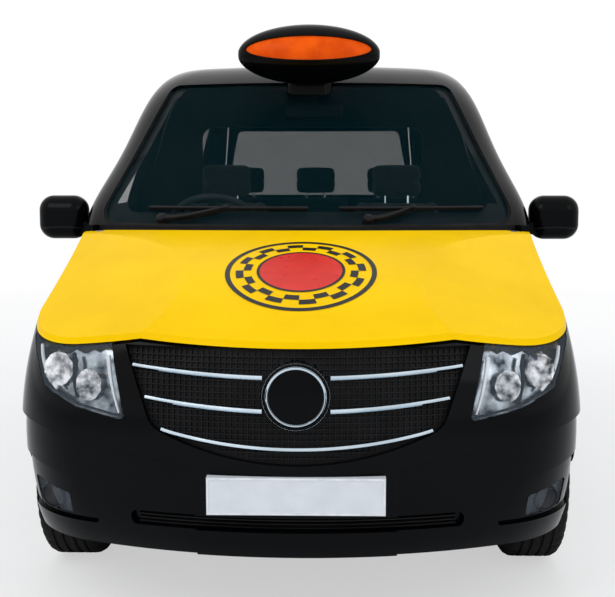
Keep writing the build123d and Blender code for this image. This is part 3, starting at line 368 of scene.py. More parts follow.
def smooth_run(points, count):
    """Evenly spaced points along a smooth line through a few given ones."""
    made = []
    last = len(points) - 1
    for i in range(count):
        t = i / (count - 1) * last
        k = min(int(t), last - 1)
        f = t - k
        p = [Vector(points[max(0, min(last, k + d))]) for d in (-1, 0, 1, 2)]
        made.append(0.5 * (2 * p[1] + (p[2] - p[0]) * f + (2 * p[0] - 5 * p[1] + 4 * p[2] - p[3]) * f ** 2
                           + (3 * p[1] - p[0] - 3 * p[2] + p[3]) * f ** 3))
    return made


def ellipse_run(centre, half, count):
    """Points round an ellipse, by two plane coordinates."""
    return [(centre[0] + half[0] * math.cos(2 * math.pi * i / count),
             centre[1] + half[1] * math.sin(2 * math.pi * i / count)) for i in range(count)]


def rounded_run(centre, half, radius, count=6):
    """Points round a rounded rectangle, by two plane coordinates."""
    made = []
    for corner, (sx, sz) in enumerate(((1, 1), (-1, 1), (-1, -1), (1, -1))):
        for i in range(count + 1):
            angle = math.pi / 2 * (corner + i / count)
            made.append((centre[0] + sx * (half[0] - radius) + radius * math.cos(angle),
                         centre[1] + sz * (half[1] - radius) + radius * math.sin(angle)))
    return made


def rim_loops(name, outward):
    """The outer rims of a node's panes: closed runs of places with the pane's normal there."""
    shape = bmesh.new()
    shape.from_mesh(NODES[name].data)
    bmesh.ops.remove_doubles(shape, verts=shape.verts, dist=1e-5)
    shape.normal_update()
    faces_out = {face for face in shape.faces if face.normal.dot(outward(face.calc_center_median())) > 0.35}
    links = {}
    normals = {}
    for edge in shape.edges:
        outer = [face for face in edge.link_faces if face in faces_out]
        if len(outer) == 1 and len(edge.link_faces) == 2:
            a, b = edge.verts
            links.setdefault(a, []).append(b)
            links.setdefault(b, []).append(a)
            for vertex in (a, b):
                normals[vertex] = normals.get(vertex, Vector()) + outer[0].normal
    loops = []
    left = set(links)
    while left:
        first = left.pop()
        loop = [first]
        here = next((v for v in links[first] if v in left), None)
        while here is not None:
            left.discard(here)
            loop.append(here)
            here = next((v for v in links[here] if v in left), None)
        if len(loop) > 8:
            loops.append([(v.co.copy(), normals[v].normalized()) for v in loop])
    shape.free()
    return loops


def even_loop(loop, step):
    """The same closed run with even steps."""
    lengths = [0.0]
    for i in range(len(loop)):
        lengths.append(lengths[-1] + (loop[(i + 1) % len(loop)][0] - loop[i][0]).length)
    count = max(12, int(lengths[-1] / step))
    made, k = [], 0
    for i in range(count):
        want = lengths[-1] * i / count
        while lengths[k + 1] < want:
            k += 1
        share = (want - lengths[k]) / max(1e-9, lengths[k + 1] - lengths[k])
        a, b = loop[k], loop[(k + 1) % len(loop)]
        made.append((a[0].lerp(b[0], share), a[1].lerp(b[1], share).normalized()))
    return made


def lay(tree, points, way, lift=0.0):
    """Points laid on the tree along a way, with their normals."""
    laid = [touch(tree, point, way) for point in points]
    return [(place + normal * lift, normal) for place, normal in laid]


PAD_FOOT = -0.002
PAD_SHARES = (0.75, 0.5, 0.25, 0.05)


def raised_pad(builder, tree, run, way, lift, inset):
    """A low raised pad inside a closed run, laid on the tree, with a softened edge."""
    points = [Vector(point) for point in run]
    middle = sum(points, Vector()) / len(points)
    reach = max((point - middle).length for point in points)
    steps = [(1.0, PAD_FOOT), (1.0, lift * 0.7), (1 - inset / reach, lift)]
    steps.extend((share, lift) for share in PAD_SHARES)
    rings = []
    for share, height in steps:
        shrunk = [middle + (point - middle) * share for point in points]
        rings.append([place for place, _ in lay(tree, shrunk, way, height)])
    builder.rings(rings)


# Padded seats, by cloth simulation
VOXEL = 0.009
PRESSURE = 4.0
SWELL_CAP = 0.022
CLOTH_FRAMES = 20
SHRINK = 0.012
SEAT_TILT = math.radians(-12)
CUSHION_SIZE = (0.50, 0.50, 0.13)
BACK_SIZE = (0.46, 0.12, 0.62)
HEAD_SIZE = (0.26, 0.09, 0.18)
BENCH_PLACE = 0.46
JUMP_BACK_SIZE = (0.40, 0.06, 0.56)
JUMP_PAD_SIZE = (0.40, 0.07, 0.38)


def padded_mesh(name, size, grooves, groove_axis):
    """A pad swollen by cloth pressure from a rounded block, with sewn channels across one axis."""
    shape = bmesh.new()
    bmesh.ops.create_cube(shape, size=1.0)
    for vertex in shape.verts:
        vertex.co = Vector(c * (s - 2 * SHRINK) for c, s in zip(vertex.co, size))
    rounding = min(size) * 0.3
    bmesh.ops.bevel(shape, geom=shape.edges[:], offset=rounding, segments=3, affect="EDGES", profile=0.5)
    mesh = bpy.data.meshes.new(name)
    shape.to_mesh(mesh)
    shape.free()
    pad = bpy.data.objects.new(name, mesh)
    bpy.context.collection.objects.link(pad)
    remesh = pad.modifiers.new("remesh", "REMESH")
    remesh.mode = "VOXEL"
    remesh.voxel_size = VOXEL
    apply_all(pad)
    before = [vertex.co.copy() for vertex in pad.data.vertices]
    swell = pad.modifiers.new("cloth", "CLOTH")
    swell.settings.use_pressure = True
    swell.settings.uniform_pressure_force = PRESSURE
    swell.settings.effector_weights.gravity = 0
    swell.point_cache.frame_end = CLOTH_FRAMES
    for step in range(1, CLOTH_FRAMES + 1):
        bpy.context.scene.frame_set(step)
    apply_all(pad)
    bpy.context.scene.frame_set(1)
    made = pad.data
    half = [s / 2 for s in size]
    normals = [vertex.normal.copy() for vertex in made.vertices]
    for vertex, old, normal in zip(made.vertices, before, normals):
        move = vertex.co - old
        if move.length > SWELL_CAP:
            vertex.co = old + move * (SWELL_CAP / move.length)
        for axis in range(3):
            vertex.co[axis] = max(-half[axis], min(half[axis], vertex.co[axis]))
        for groove in grooves:
            away = (vertex.co[groove_axis] - groove) / 0.010
            sink = 0.007 * math.exp(-away * away)
            vertex.co -= normal * sink
    bpy.data.objects.remove(pad)
    return made


def apply_all(pad):
    """Applies an object's modifiers to its mesh."""
    graph = bpy.context.evaluated_depsgraph_get()
    made = bpy.data.meshes.new_from_object(pad.evaluated_get(graph))
    pad.modifiers.clear()
    pad.data = made


def place_pad(name, mesh, at, tilt, nodes):
    """A copy of a padded mesh at its place, standing for its CAD node."""
    copy = mesh.copy()
    copy.transform(Matrix.Translation(Vector(at)) @ Matrix.Rotation(tilt, 4, "X"))
    piece = add_object(name, copy, LOOKS["seat_cloth"], CAB)
    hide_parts(*nodes)


def seat_frame(name, x, y, width, heads, node):
    """A seat's pedestal with sloping sides, its side covers and the head restraints' posts."""
    form = Builder()
    rings = []
    for z, half_x, half_y in ((0.381, width / 2 - 0.05, 0.20), (0.40, width / 2 - 0.06, 0.19),
                              (0.52, width / 2 - 0.09, 0.16), (0.585, width / 2 - 0.04, 0.21)):
        rings.append([(px, py, z) for px, py in rounded_run((x, y), (half_x, half_y), 0.03, 4)])
    form.rings(rings)
    for side in (-1, 1):
        edge = x + side * (width / 2 - 0.012)
        run = [(edge, y - 0.22, 0.60), (edge, y + 0.05, 0.60), (edge, y + 0.20, 0.64), (edge, y + 0.26, 0.76)]
        path = [(p, Vector((side, 0, 0))) for p in smooth_run(run, 14)]
        form.sweep(path, oval_profile(0.035, 0.010))
    piece = form.make(name + "_frame", "black_plastic")
    posts = Builder()
    for offset in heads:
        for side in (-0.055, 0.055):
            run = [(x + offset + side, y + 0.292, 1.24), (x + offset + side, y + 0.312, 1.34)]
            posts.sweep([(p, Vector((1, 0, 0))) for p in smooth_run(run, 4)], round_profile(0.007))
    posts.make(name + "_posts", "chrome")
    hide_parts(node)


def add_seats():
    """Front seats, the bench with three places, and the two folded tip-up seats."""
    cushion = padded_mesh("cushion", CUSHION_SIZE, (-0.15, 0.15), 0)
    back = padded_mesh("back", BACK_SIZE, (-0.14, 0.14), 0)
    head = padded_mesh("head", HEAD_SIZE, (0.0,), 2)
    bench = padded_mesh("bench", (BENCH_PLACE, 0.50, 0.13), (-0.13, 0.13), 0)
    bench_back = padded_mesh("bench_back", (BENCH_PLACE - 0.006, 0.12, 0.62), (-0.13, 0.13), 0)
    jump_back = padded_mesh("jump_back", JUMP_BACK_SIZE, (0.12,), 2)
    jump_pad = padded_mesh("jump_pad", JUMP_PAD_SIZE, (0.0,), 2)
    for label, x in (("driver", -0.42), ("front_passenger", 0.42)):
        place_pad(label + "_cushion", cushion, (x, -0.56, 0.655), 0, ("front_seats",))
        place_pad(label + "_back", back, (x, -0.32, 0.99), SEAT_TILT, ("front_seats",))
        place_pad(label + "_head", head, (x, -0.235, 1.37), SEAT_TILT, ("front_seats",))
        seat_frame(label, x, -0.56, 0.50, (0,), "front_seats")
    for index, x in enumerate((-BENCH_PLACE, 0, BENCH_PLACE)):
        label = "bench_%d" % (index + 1)
        place_pad(label + "_cushion", bench, (x, 0.85, 0.655), 0, ("rear_bench",))
        place_pad(label + "_back", bench_back, (x, 1.09, 0.99), SEAT_TILT, ("rear_bench",))
        place_pad(label + "_head", head, (x * 0.957, 1.175, 1.37), SEAT_TILT, ("rear_bench",))
    seat_frame("bench", 0, 0.85, 1.38, (-0.44, 0, 0.44), "rear_bench")
    for label, x in (("jump_right", -0.42), ("jump_left", 0.42)):
        place_pad(label + "_back", jump_back, (x, 0.0055, 0.90), 0, ("jump_seats",))
        place_pad(label + "_pad", jump_pad, (x, 0.0755, 0.72), 0, ("jump_seats",))
    for mesh in (cushion, back, head, bench, bench_back, jump_back, jump_pad):
        bpy.data.meshes.remove(mesh)


# Front of the cab
HEADLAMP = ((0.826, 0.985), (0.846, 0.885), (0.783, 0.756), (0.668, 0.706), (0.520, 0.678), (0.564, 0.898))
HOUSE_DEPTH = 0.034
GUIDE_DEPTH = 0.012
DIVIDER_DEPTH = 0.010
BOWLS = (
    # x, z, half width, half height, depth
    (0.738, 0.806, 0.048, 0.052, 0.030),
    (0.632, 0.768, 0.040, 0.048, 0.026),
)


def headlamp_inside(side, label):
    """The housing, two faceted bowls with their caps, a divider and a light guide behind the lens."""
    tree = tree_of("headlamps")
    outline = [Vector((side * x, 0, z)) for x, z in HEADLAMP]
    middle = sum(outline, Vector()) / len(outline)
    dense = []
    for a, b in zip(outline, outline[1:] + outline[:1]):
        dense.extend(a.lerp(b, i / 8) for i in range(8))
    house = Builder()
    rings = []
    for share in (1.0, 0.85, 0.65, 0.45, 0.25, 0.05):
        points = [middle + (p - middle) * share * 0.985 for p in dense]
        rings.append([place for place, _ in lay(tree, points, BACK, -HOUSE_DEPTH)])
    house.rings(rings)
    house.make("headlamp_house_" + label, "lamp_house", CAB, "black_plastic")
    bowl, bulbs = Builder(), Builder()
    for x, z, half_x, half_z, depth in BOWLS:
        place, normal = touch(tree, (side * x, 0, z), BACK)
        out = (normal + FORWARD * 1.5).normalized()
        across = out.cross(UP).normalized()
        tall = across.cross(out)
        rings = []
        for k in range(9):
            radius = 1 - k / 9
            ring = []
            for j in range(48):
                angle = 2 * math.pi * j / 48
                facet = 0.0035 * radius * math.cos(9 * angle) * math.cos(4 * math.pi * radius)
                sink = 0.009 + depth * (1 - radius ** 2) + facet
                ring.append(place - out * sink + across * half_x * radius * math.cos(angle)
                            + tall * half_z * radius * math.sin(angle))
            rings.append(ring)
        bowl.rings(rings)
        cap = [(0.0, 0.013), (0.010, 0.013), (0.016, 0.009), (0.018, 0.0)]
        bulbs.revolve(place - out * (0.009 + depth), out, cap, 24)
    bowl.make("headlamp_bowls_" + label, "lamp_bowl", CAB, "chrome")
    bulbs.make("headlamp_bulbs_" + label, "chrome")
    guides = Builder()
    inner = [(side * x, 0, z) for x, z in ((0.534, 0.692), (0.552, 0.750), (0.566, 0.808), (0.574, 0.858))]
    outer = [(side * x, 0, z) for x, z in ((0.822, 0.866), (0.812, 0.832), (0.784, 0.784), (0.745, 0.748))]
    path = lay(tree, smooth_run(inner, 16), BACK, -GUIDE_DEPTH)
    guides.sweep(path, lambda t: strip_profile(0.006 + 0.008 * t, 0.005))
    guides.sweep(lay(tree, smooth_run(outer, 16), BACK, -GUIDE_DEPTH), strip_profile(0.010, 0.005))
    guides.make("headlamp_guides_" + label, "lamp_white", CAB, "chrome")
    divider = Builder()
    run = [(side * x, 0, z) for x, z in ((0.688, 0.858), (0.680, 0.826), (0.682, 0.784), (0.668, 0.728))]
    divider.sweep(lay(tree, smooth_run(run, 16), BACK, -DIVIDER_DEPTH), strip_profile(0.012, 0.006))
    divider.make("headlamp_divider_" + label, "gloss_black")


GRILLE_STEP = 0.017
LATTICE_WIDTH = 0.0045
GRILLE_TOP_Z = 0.882
GRILLE_FOOT = (0.432, 0.660)
GRILLE_TOP = (0.515, 0.893)
GRILLE_CENTRE_Z = 0.556
BOSS_AT = Vector((0, -2.565, 0.762))


def grille_foot(x):
    """The height of the grille's lower edge at a place across."""
    x = abs(x)
    foot_x, foot_z = GRILLE_FOOT
    if x <= foot_x:
        return GRILLE_CENTRE_Z + (foot_z - GRILLE_CENTRE_Z) * (x / foot_x) ** 2 + 0.010
    return foot_z + (x - foot_x) * (GRILLE_TOP[1] - foot_z) / (GRILLE_TOP[0] - foot_x) + 0.012


def grille_mesh():
    """A fine lattice on the dark insert, behind the bright bars."""
    tree = tree_of("grille")
    form = Builder()
    rows = int(2 * GRILLE_TOP[0] / GRILLE_STEP)
    for i in range(1, rows):
        x = -GRILLE_TOP[0] + i * GRILLE_STEP
        low = grille_foot(x)
        if GRILLE_TOP_Z - low < 0.02:
            continue
        run = straight((x, 0, low), (x, 0, GRILLE_TOP_Z), 9)
        form.sweep(lay(tree, run, BACK), strip_profile(LATTICE_WIDTH, 0.006))
    z = GRILLE_CENTRE_Z + 0.02
    while z < GRILLE_TOP_Z:
        half = max(x for x in (k * 0.005 for k in range(103)) if grille_foot(x) < z)
        run = straight((-half, 0, z), (half, 0, z), 28)
        form.sweep(lay(tree, run, BACK), strip_profile(LATTICE_WIDTH, 0.008))
        z += GRILLE_STEP
    form.make("grille_mesh", "black_plastic")


BAR_STEP = 0.01
BAR_REACH = 52
BAR_KINK = 0.004
RAY_STEP = 0.0005
RAY_ROWS = 800
BAR_SECTION = ((-0.006, -0.022), (-0.006, -0.002), (-0.002, 0.001), (0.002, 0.001), (0.006, -0.002),
               (0.006, -0.022))


def bar_lines():
    """The front middle lines of the grille's bars, found by rays from the front."""
    tree = tree_of("grille_bars")
    lines = []
    for i in range(-BAR_REACH, BAR_REACH + 1):
        run = []
        for k in range(RAY_ROWS):
            point = Vector((i * BAR_STEP, -6.0, 0.90 - k * RAY_STEP))
            place, _, _, _ = tree.ray_cast(point, BACK)
            if place is not None:
                run.append(place)
            if run and place is None:
                middle = run[len(run) // 2]
                near = [line for line in lines if (line[-1] - middle).length < 2.5 * BAR_STEP]
                if near:
                    near[0].append(middle)
                else:
                    lines.append([middle])
                run = []
    for line in lines:
        while len(line) > 6 and abs(line[0].z - line[1].z) > BAR_KINK:
            line.pop(0)
        while len(line) > 6 and abs(line[-1].z - line[-2].z) > BAR_KINK:
            line.pop()
    return [line for line in lines if len(line) > 6]


def slim_bars():
    """Slim bright bars on the lines of the grille's bars."""
    form = Builder()
    for line in bar_lines():
        path = []
        for i in range(len(line)):
            reach = min(2, i, len(line) - 1 - i)
            near = line[i - reach:i + reach + 1]
            path.append((sum(near, Vector()) / len(near), FORWARD))
        form.sweep(path, BAR_SECTION)
    piece = form.make("grille_slim_bars", "chrome")
    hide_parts("grille_bars")


def boss_dress():
    """A plain dark dish with a bright ring on the grille's round boss."""
    dish = Builder()
    dish.revolve(BOSS_AT, FORWARD, [(0.0085, 0.0), (0.008, 0.03), (0.006, 0.055), (0.003, 0.079)], 72)
    dish.revolve(BOSS_AT, FORWARD, [(0.0, 0.0885), (0.005, 0.090), (0.005, 0.095), (0.0, 0.0978)], 72)
    dish.make("boss_dish", "gloss_black")
    ring = Builder()
    profile = [(0.0, 0.079), (0.008, 0.0795), (0.012, 0.0825), (0.012, 0.0845), (0.008, 0.0875), (0.0, 0.088)]
    ring.revolve(BOSS_AT, FORWARD, profile, 72, closed_profile=True)
    ring.make("boss_ring", "chrome")


def plate_rims():
    """A raised edge round each blank plate."""
    for node, way, body in (("front_plate", BACK, CAB), ("rear_plate", FORWARD, "tailgate_lid")):
        low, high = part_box(node)
        centre = ((low[0] + high[0]) / 2, (low[2] + high[2]) / 2)
        half = ((high[0] - low[0]) / 2 - 0.004, (high[2] - low[2]) / 2 - 0.004)
        run = [(x, 0, z) for x, z in rounded_run(centre, half, 0.010)]
        form = Builder()
        form.sweep(lay(tree_of(node), run, way), strip_profile(0.006, 0.0022, 0.001), closed=True)
        form.make(node + "_rim", "lamp_white", body, "plate_white")


# Fog lamps: the ring's and the dish's sections along and out. Intake slats: half width and heights
FOG_AT = (0.772, 0.395)
FOG_RING = ((-0.002, 0.034), (0.005, 0.036), (0.006, 0.040), (-0.002, 0.043))
FOG_DISH = ((0.003, 0.033), (0.0015, 0.020), (0.001, 0.008), (0.004, 0.0))
SLAT_HALF = 0.475
SLAT_HEIGHTS = (0.360, 0.372, 0.384)


def fog_and_intake():
    """Bowls and rings in the fog lamps, and slats in the low intake."""
    for side, label in SIDES:
        tree = tree_of("fog_lamps")
        place, normal = touch(tree, (side * FOG_AT[0], 0, FOG_AT[1]), BACK)
        out = (normal + FORWARD).normalized()
        form = Builder()
        form.revolve(place, out, FOG_RING, 40)
        form.revolve(place, out, FOG_DISH, 40)
        form.make("fog_ring_" + label, "fog_house", CAB, "black_plastic")
    tree = tree_of("front_bumper")
    form = Builder()
    for z in SLAT_HEIGHTS:
        run = straight((-SLAT_HALF, 0, z), (SLAT_HALF, 0, z), 30)
        form.sweep(lay(tree, run, BACK), strip_profile(0.005, 0.007))
    form.make("intake_slats", "black_plastic")


# Wipers: the pivot's x, the blade's ends
WIPERS = ((-0.56, -0.62, 0.01), (0.24, 0.13, 0.70))
BLADE_Z = 1.262
PIVOT_Z = 1.222


def add_wipers():
    """Two parked wipers: pivot caps, tapering arms, spines and rubber edges."""
    tree = tree_of("windscreen")
    arms, rubbers = Builder(), Builder()
    for pivot, inner, outer in WIPERS:
        blade = straight((inner, 0, BLADE_Z), (outer, 0, BLADE_Z), 24)
        lip = [(-0.004, 0), (-0.0025, 0.008), (0.0025, 0.008), (0.004, 0)]
        rubbers.sweep(lay(tree, blade, BACK, 0.002), lip)
        arms.sweep(lay(tree, blade, BACK, 0.010), strip_profile(0.013, 0.006))
        middle = (inner + outer) / 2
        run = smooth_run([(pivot, 0, PIVOT_Z), (pivot + (middle - pivot) * 0.4, 0, PIVOT_Z + 0.008),
                          (middle, 0, BLADE_Z)], 18)
        arms.sweep(lay(tree, run, BACK, 0.012),
                   lambda t: strip_profile(0.024 - 0.012 * t, 0.009, 0.010))
        place, normal = touch(tree, (pivot, 0, PIVOT_Z), BACK)
        cap = [(-0.012, 0.022), (0.016, 0.020), (0.021, 0.014), (0.023, 0.0)]
        arms.revolve(place + normal * 0.004, normal, cap, 28)
        place, normal = touch(tree, (middle, 0, BLADE_Z), BACK)
        arms.revolve(place + normal * 0.008, normal, [(0.0, 0.013), (0.013, 0.011), (0.015, 0.0)], 20)
    piece = arms.make("wiper_arms", "black_plastic")
    edge = rubbers.make("wiper_rubbers", "seal", CAB, "black_plastic")
    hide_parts("wipers")
    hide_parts("wipers")


# Trim round the cab
GLASS_SEALS = (
    # node, body, outward way
    ("front_door_glass_left", "door_left", lambda p: Vector((1, 0, 0))),
    ("front_door_glass_right", "door_right", lambda p: Vector((-1, 0, 0))),
    ("side_glass", CAB, lambda p: Vector((math.copysign(1, p.x), 0, 0))),
    ("tailgate_glass", "tailgate_lid", lambda p: Vector((0, 1, 0))),
    ("windscreen", CAB, lambda p: Vector((0, -0.6, 0.8))),
)
LOOP_STEP = 0.03
SEAL_SECTION = (0.016, 0.0035, 0.004)
FRIT_DEPTH = 0.009
FRIT_SHARES = (0.02, 0.4, 0.7, 1.0)
# The printed band's width at the sides, the top and the foot
FRIT_WIDTHS = (0.05, 0.07, 0.10)


def add_seals():
    """Rubber seals round every pane, and the screen's dark printed band behind its edge."""
    for node, body, outward in GLASS_SEALS:
        form = Builder()
        for loop in rim_loops(node, outward):
            form.sweep(even_loop(loop, LOOP_STEP), strip_profile(*SEAL_SECTION), closed=True)
        form.make(node + "_seal", "seal", body, "black_plastic")
    loop = even_loop(rim_loops("windscreen", GLASS_SEALS[-1][2])[0], LOOP_STEP)
    middle = sum((place for place, _ in loop), Vector()) / len(loop)
    tree = tree_of("windscreen")
    top = max(place.z for place, _ in loop)
    foot = min(place.z for place, _ in loop)
    rings = []
    for place, normal in loop:
        inward = middle - place
        inward = (inward - normal * inward.dot(normal)).normalized()
        width = FRIT_WIDTHS[0]
        if place.z > top - 0.04:
            width = FRIT_WIDTHS[1]
        if place.z < foot + 0.06:
            width = FRIT_WIDTHS[2]
        row = []
        for share in FRIT_SHARES:
            point, _ = touch(tree, place + inward * width * share, -normal)
            row.append(point - normal * FRIT_DEPTH)
        rings.append(row)
    form = Builder()
    form.grid(rings, False, True)
    form.make("windscreen_band", "black_film", CAB, "gloss_black")


HANDLES = (
    # name, node, body, side, front y, rear y
    ("handle_front_left", "front_door_left", "door_left", 1, -0.40, -0.19),
    ("handle_front_right", "front_door_right", "door_right", -1, -0.40, -0.19),
    ("handle_slide_left", "sliding_doors", CAB, 1, 0.00, 0.20),
    ("handle_slide_right", "sliding_doors", CAB, -1, 0.00, 0.20),
)
HANDLE_Z = 1.045
HANDLE_BOW = (0.0, 0.024, 0.033, 0.035, 0.033, 0.024, 0.0)


def add_handles():
    """Bow handles over shallow dark cups."""
    for name, node, body, side, front, rear in HANDLES:
        tree = tree_of(node)
        way = Vector((-side, 0, 0))
        bow = smooth_run([(0, front + (rear - front) * k / 6, HANDLE_Z) for k in range(7)], 25)
        lifts = smooth_run([(0, 0, b) for b in HANDLE_BOW], 25)
        path = []
        for point, lift in zip(bow, lifts):
            place, normal = touch(tree, point, way)
            path.append((place + normal * max(0.0, lift.z), normal))
        grip = Builder()
        grip.sweep(path, oval_profile(0.015, 0.0065))
        grip.make(name, "gloss_black", body, "black_paint")
        cup = Builder()
        half = ((rear - front) * 0.32, 0.030)
        run = [(0, y, z) for y, z in ellipse_run(((front + rear) / 2, HANDLE_Z), half, 32)]
        cup.sweep(lay(tree, run, way), strip_profile(0.006, 0.002), closed=True)
        raised_pad(cup, tree, run, way, 0.0012, 0.004)
        cup.make(name + "_cup", "black_film", body, "black_plastic")


# The sliding doors' rails: ends along Y, and each strip's height, width and rise
RAIL_Y = (1.03, 2.20)
RAIL_STRIPS = ((1.135, 0.022, 0.003), (1.120, 0.004, 0.006))


def add_side_trim():
    """The sliding doors' rails and the fuel flap's seam."""
    for side, label in SIDES:
        way = Vector((-side, 0, 0))
        tree = tree_of("body_sides")
        rail = Builder()
        for z, width, height in RAIL_STRIPS:
            run = straight((0, RAIL_Y[0], z), (0, RAIL_Y[1], z), 30)
            rail.sweep(lay(tree, run, way), strip_profile(width, height))
        rail.make("slide_rail_" + label, "black_plastic")
    form = Builder()
    run = [(0, y, z) for y, z in rounded_run((1.22, 0.90), (0.085, 0.085), 0.03)]
    tree = tree_of("body_sides")
    form.sweep(lay(tree, run, Vector((1, 0, 0))), strip_profile(0.005, 0.001), closed=True)
    form.make("fuel_flap_seam", "seal", CAB, "black_plastic")


def add_mirror_glass():
    """A silvered pane and a soft frame at the back of each mirror."""
    for side, label in SIDES:
        node, body = "mirror_" + label, "door_" + label
        tree = tree_of(node)
        run = [(x, 0, z) for x, z in rounded_run((side * 1.034, 1.224), (0.082, 0.066), 0.034)]
        path = lay(tree, run, FORWARD)
        pane = Builder()
        raised_pad(pane, tree, run, FORWARD, 0.002, 0.004)
        pane.make(node + "_glass", "mirror_face", body, "chrome")
        rim = Builder()
        rim.sweep(path, strip_profile(0.012, 0.006), closed=True)
        rim.make(node + "_frame", "black_plastic", body)
        seam = Builder()
        low = []
        for k in range(21):
            low.append((side * (0.94 + 0.18 * k / 20), 0, 1.176 + 0.006 * math.sin(math.pi * k / 20)))
        seam.sweep(lay(tree, low, BACK), strip_profile(0.007, 0.0015))
        seam.make(node + "_seam", "black_plastic", body)


def add_sign_trim():
    """A thin bezel round the roof sign's blank lens."""
    tree = tree_of("roof_sign", "sign_lens")
    low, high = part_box("sign_lens")
    centre = ((low[0] + high[0]) / 2, (low[2] + high[2]) / 2)
    half = ((high[0] - low[0]) / 2 + 0.003, (high[2] - low[2]) / 2 + 0.003)
    run = [(x, 0, z) for x, z in ellipse_run(centre, half, 96)]
    form = Builder()
    form.sweep(lay(tree, run, BACK), strip_profile(0.007, 0.003), closed=True)
    form.make("sign_bezel", "gloss_black")


# Rear of the cab
LAMP_ZONES = (
    # name, height, half height, material
    ("reverse", 1.03, 0.038, "lamp_white"),
    ("turn", 1.36, 0.045, "lamp_amber"),
)
GRIP_HALF = 0.32
STOP_HALF = 0.14
STOP_Z = 1.768


def add_rear():
    """Clear and amber zones in the tail lamps, the tailgate's grip bar and a high stop lamp."""
    tree = tree_of("tail_lamps")
    for name, z, half, material in LAMP_ZONES:
        form = Builder()
        for side in (-1, 1):
            run = [(x, 0, zz) for x, zz in rounded_run((side * 0.855, z), (0.035, half), 0.012)]
            raised_pad(form, tree, run, FORWARD, 0.0025, 0.004)
        form.make("tail_" + name, material, CAB, "lamp_clear")
    ribs = Builder()
    for side in (-1, 1):
        for k in range(5):
            z = 1.12 + k * 0.04
            run = straight((side * 0.815, 0, z), (side * 0.900, 0, z), 8)
            ribs.sweep(lay(tree, run, FORWARD), strip_profile(0.010, 0.0025))
    ribs.make("tail_ribs", "lamp_red")
    low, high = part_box("rear_plate")
    gate = tree_of("tailgate")
    bar = Builder()
    z = high[2] + 0.05
    run = straight((-GRIP_HALF, 0, z), (GRIP_HALF, 0, z), 24)
    bar.sweep(lay(gate, run, FORWARD), strip_profile(0.050, 0.022))
    bar.make("tailgate_grip", "gloss_black", "tailgate_lid")
    lamp = Builder()
    run = straight((-STOP_HALF, 0, STOP_Z), (STOP_HALF, 0, STOP_Z), 16)
    lamp.sweep(lay(gate, run, FORWARD), strip_profile(0.018, 0.006))
    lamp.make("high_stop_lamp", "lamp_red", "tailgate_lid")


# Wheels
WHEELS = (
    # label, hub x, hub y
    ("front_left", 0.82, -1.675),
    ("front_right", -0.82, -1.675),
    ("rear_left", 0.82, 1.525),
    ("rear_right", -0.82, 1.525),
)
AXLE_Z = 0.336
TREAD_STEPS = 160
TREAD_GROOVES = (-0.05, -0.018, 0.018, 0.05)
SHOULDER = ((0.0865, 0.212), (0.0985, 0.235), (0.1022, 0.262), (0.1015, 0.268), (0.1015, 0.290),
            (0.098, 0.312), (0.088, 0.326), (0.072, 0.3345))
NUT_PITCH = 0.056
NUT_SECTION = ((0, 0.0115), (0.014, 0.0115), (0.017, 0.008), (0.017, 0))


def tyre_form():
    """A tyre's rings: rounded shoulders, four grooves and notched shoulder blocks."""
    profile = [(-x, r) for x, r in SHOULDER]
    for groove in TREAD_GROOVES:
        profile.extend([(groove - 0.0055, 0.336), (groove - 0.004, 0.329), (groove + 0.004, 0.329),
                        (groove + 0.0055, 0.336)])
    profile.extend(reversed(SHOULDER))
    rings = []
    for step in range(TREAD_STEPS):
        angle = 2 * math.pi * step / TREAD_STEPS
        ring = []
        for x, radius in profile:
            notched = step % 4 == 0 and 0.055 < abs(x) < 0.099 and radius > 0.3
            reach = radius - 0.006 if notched else radius
            ring.append((x, reach * math.cos(angle), reach * math.sin(angle)))
        rings.append(ring)
    return rings


def add_wheels():
    """Treaded tyres, wheel nuts, centre caps, brake discs and front calipers."""
    rings = tyre_form()
    for label, x, y in WHEELS:
        body = "wheel_" + label
        side = math.copysign(1, x)
        hub = Vector((x, y, AXLE_Z))
        tyre = Builder()
        tyre.rings([[hub + Vector(p) for p in ring] for ring in rings], closed=True)
        piece = tyre.make("tread_" + label, "tyre", body)
        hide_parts("tyre_" + label)
        axis = Vector((side, 0, 0))
        face = hub + axis * 0.058
        nuts = Builder()
        for k in range(5):
            angle = math.radians(90 + 72 * k)
            at = face + Vector((0, math.cos(angle), math.sin(angle))) * NUT_PITCH
            nuts.revolve(at - axis * 0.001, axis, NUT_SECTION, 6)
        nuts.make("nuts_" + label, "steel", body, smooth=False)
        cap = Builder()
        cap.revolve(face - axis * 0.001, axis, [(0, 0.034), (0.006, 0.033), (0.010, 0.026), (0.011, 0)], 40)
        cap.make("cap_" + label, "gloss_black", body)
        disc = Builder()
        plate = [(-0.046, 0.060), (-0.038, 0.062), (-0.036, 0.080), (-0.036, 0.150), (-0.048, 0.150),
                 (-0.048, 0.080), (-0.050, 0.062)]
        disc.revolve(hub, axis, plate, 64, closed_profile=True)
        disc.make("disc_" + label, "steel", body)
    for label, x in (("left", 0.82), ("right", -0.82)):
        side = math.copysign(1, x)
        form = Builder()
        rings = []
        for k in range(13):
            angle = math.radians(20 + 60 * k / 12)
            out = Vector((0, math.cos(angle), math.sin(angle)))
            hub = Vector((x, -1.675, AXLE_Z))
            shrink = 0.006 if k in (0, 12) else 0.0
            ring = []
            for across, radius in rounded_run((-0.042, 0.133), (0.022 - shrink, 0.030 - shrink), 0.010, 3):
                ring.append(hub + Vector((side * across, 0, 0)) + out * radius)
            rings.append(ring)
        form.rings(rings)
        form.make("caliper_" + label, "cast_iron", "steer_" + label)


# Inside: the instrument hood's sections by y, half width and rise
HOOD_SECTIONS = ((-1.03, 0.150, 0.075), (-0.97, 0.170, 0.095), (-0.91, 0.175, 0.10), (-0.885, 0.172, 0.096))


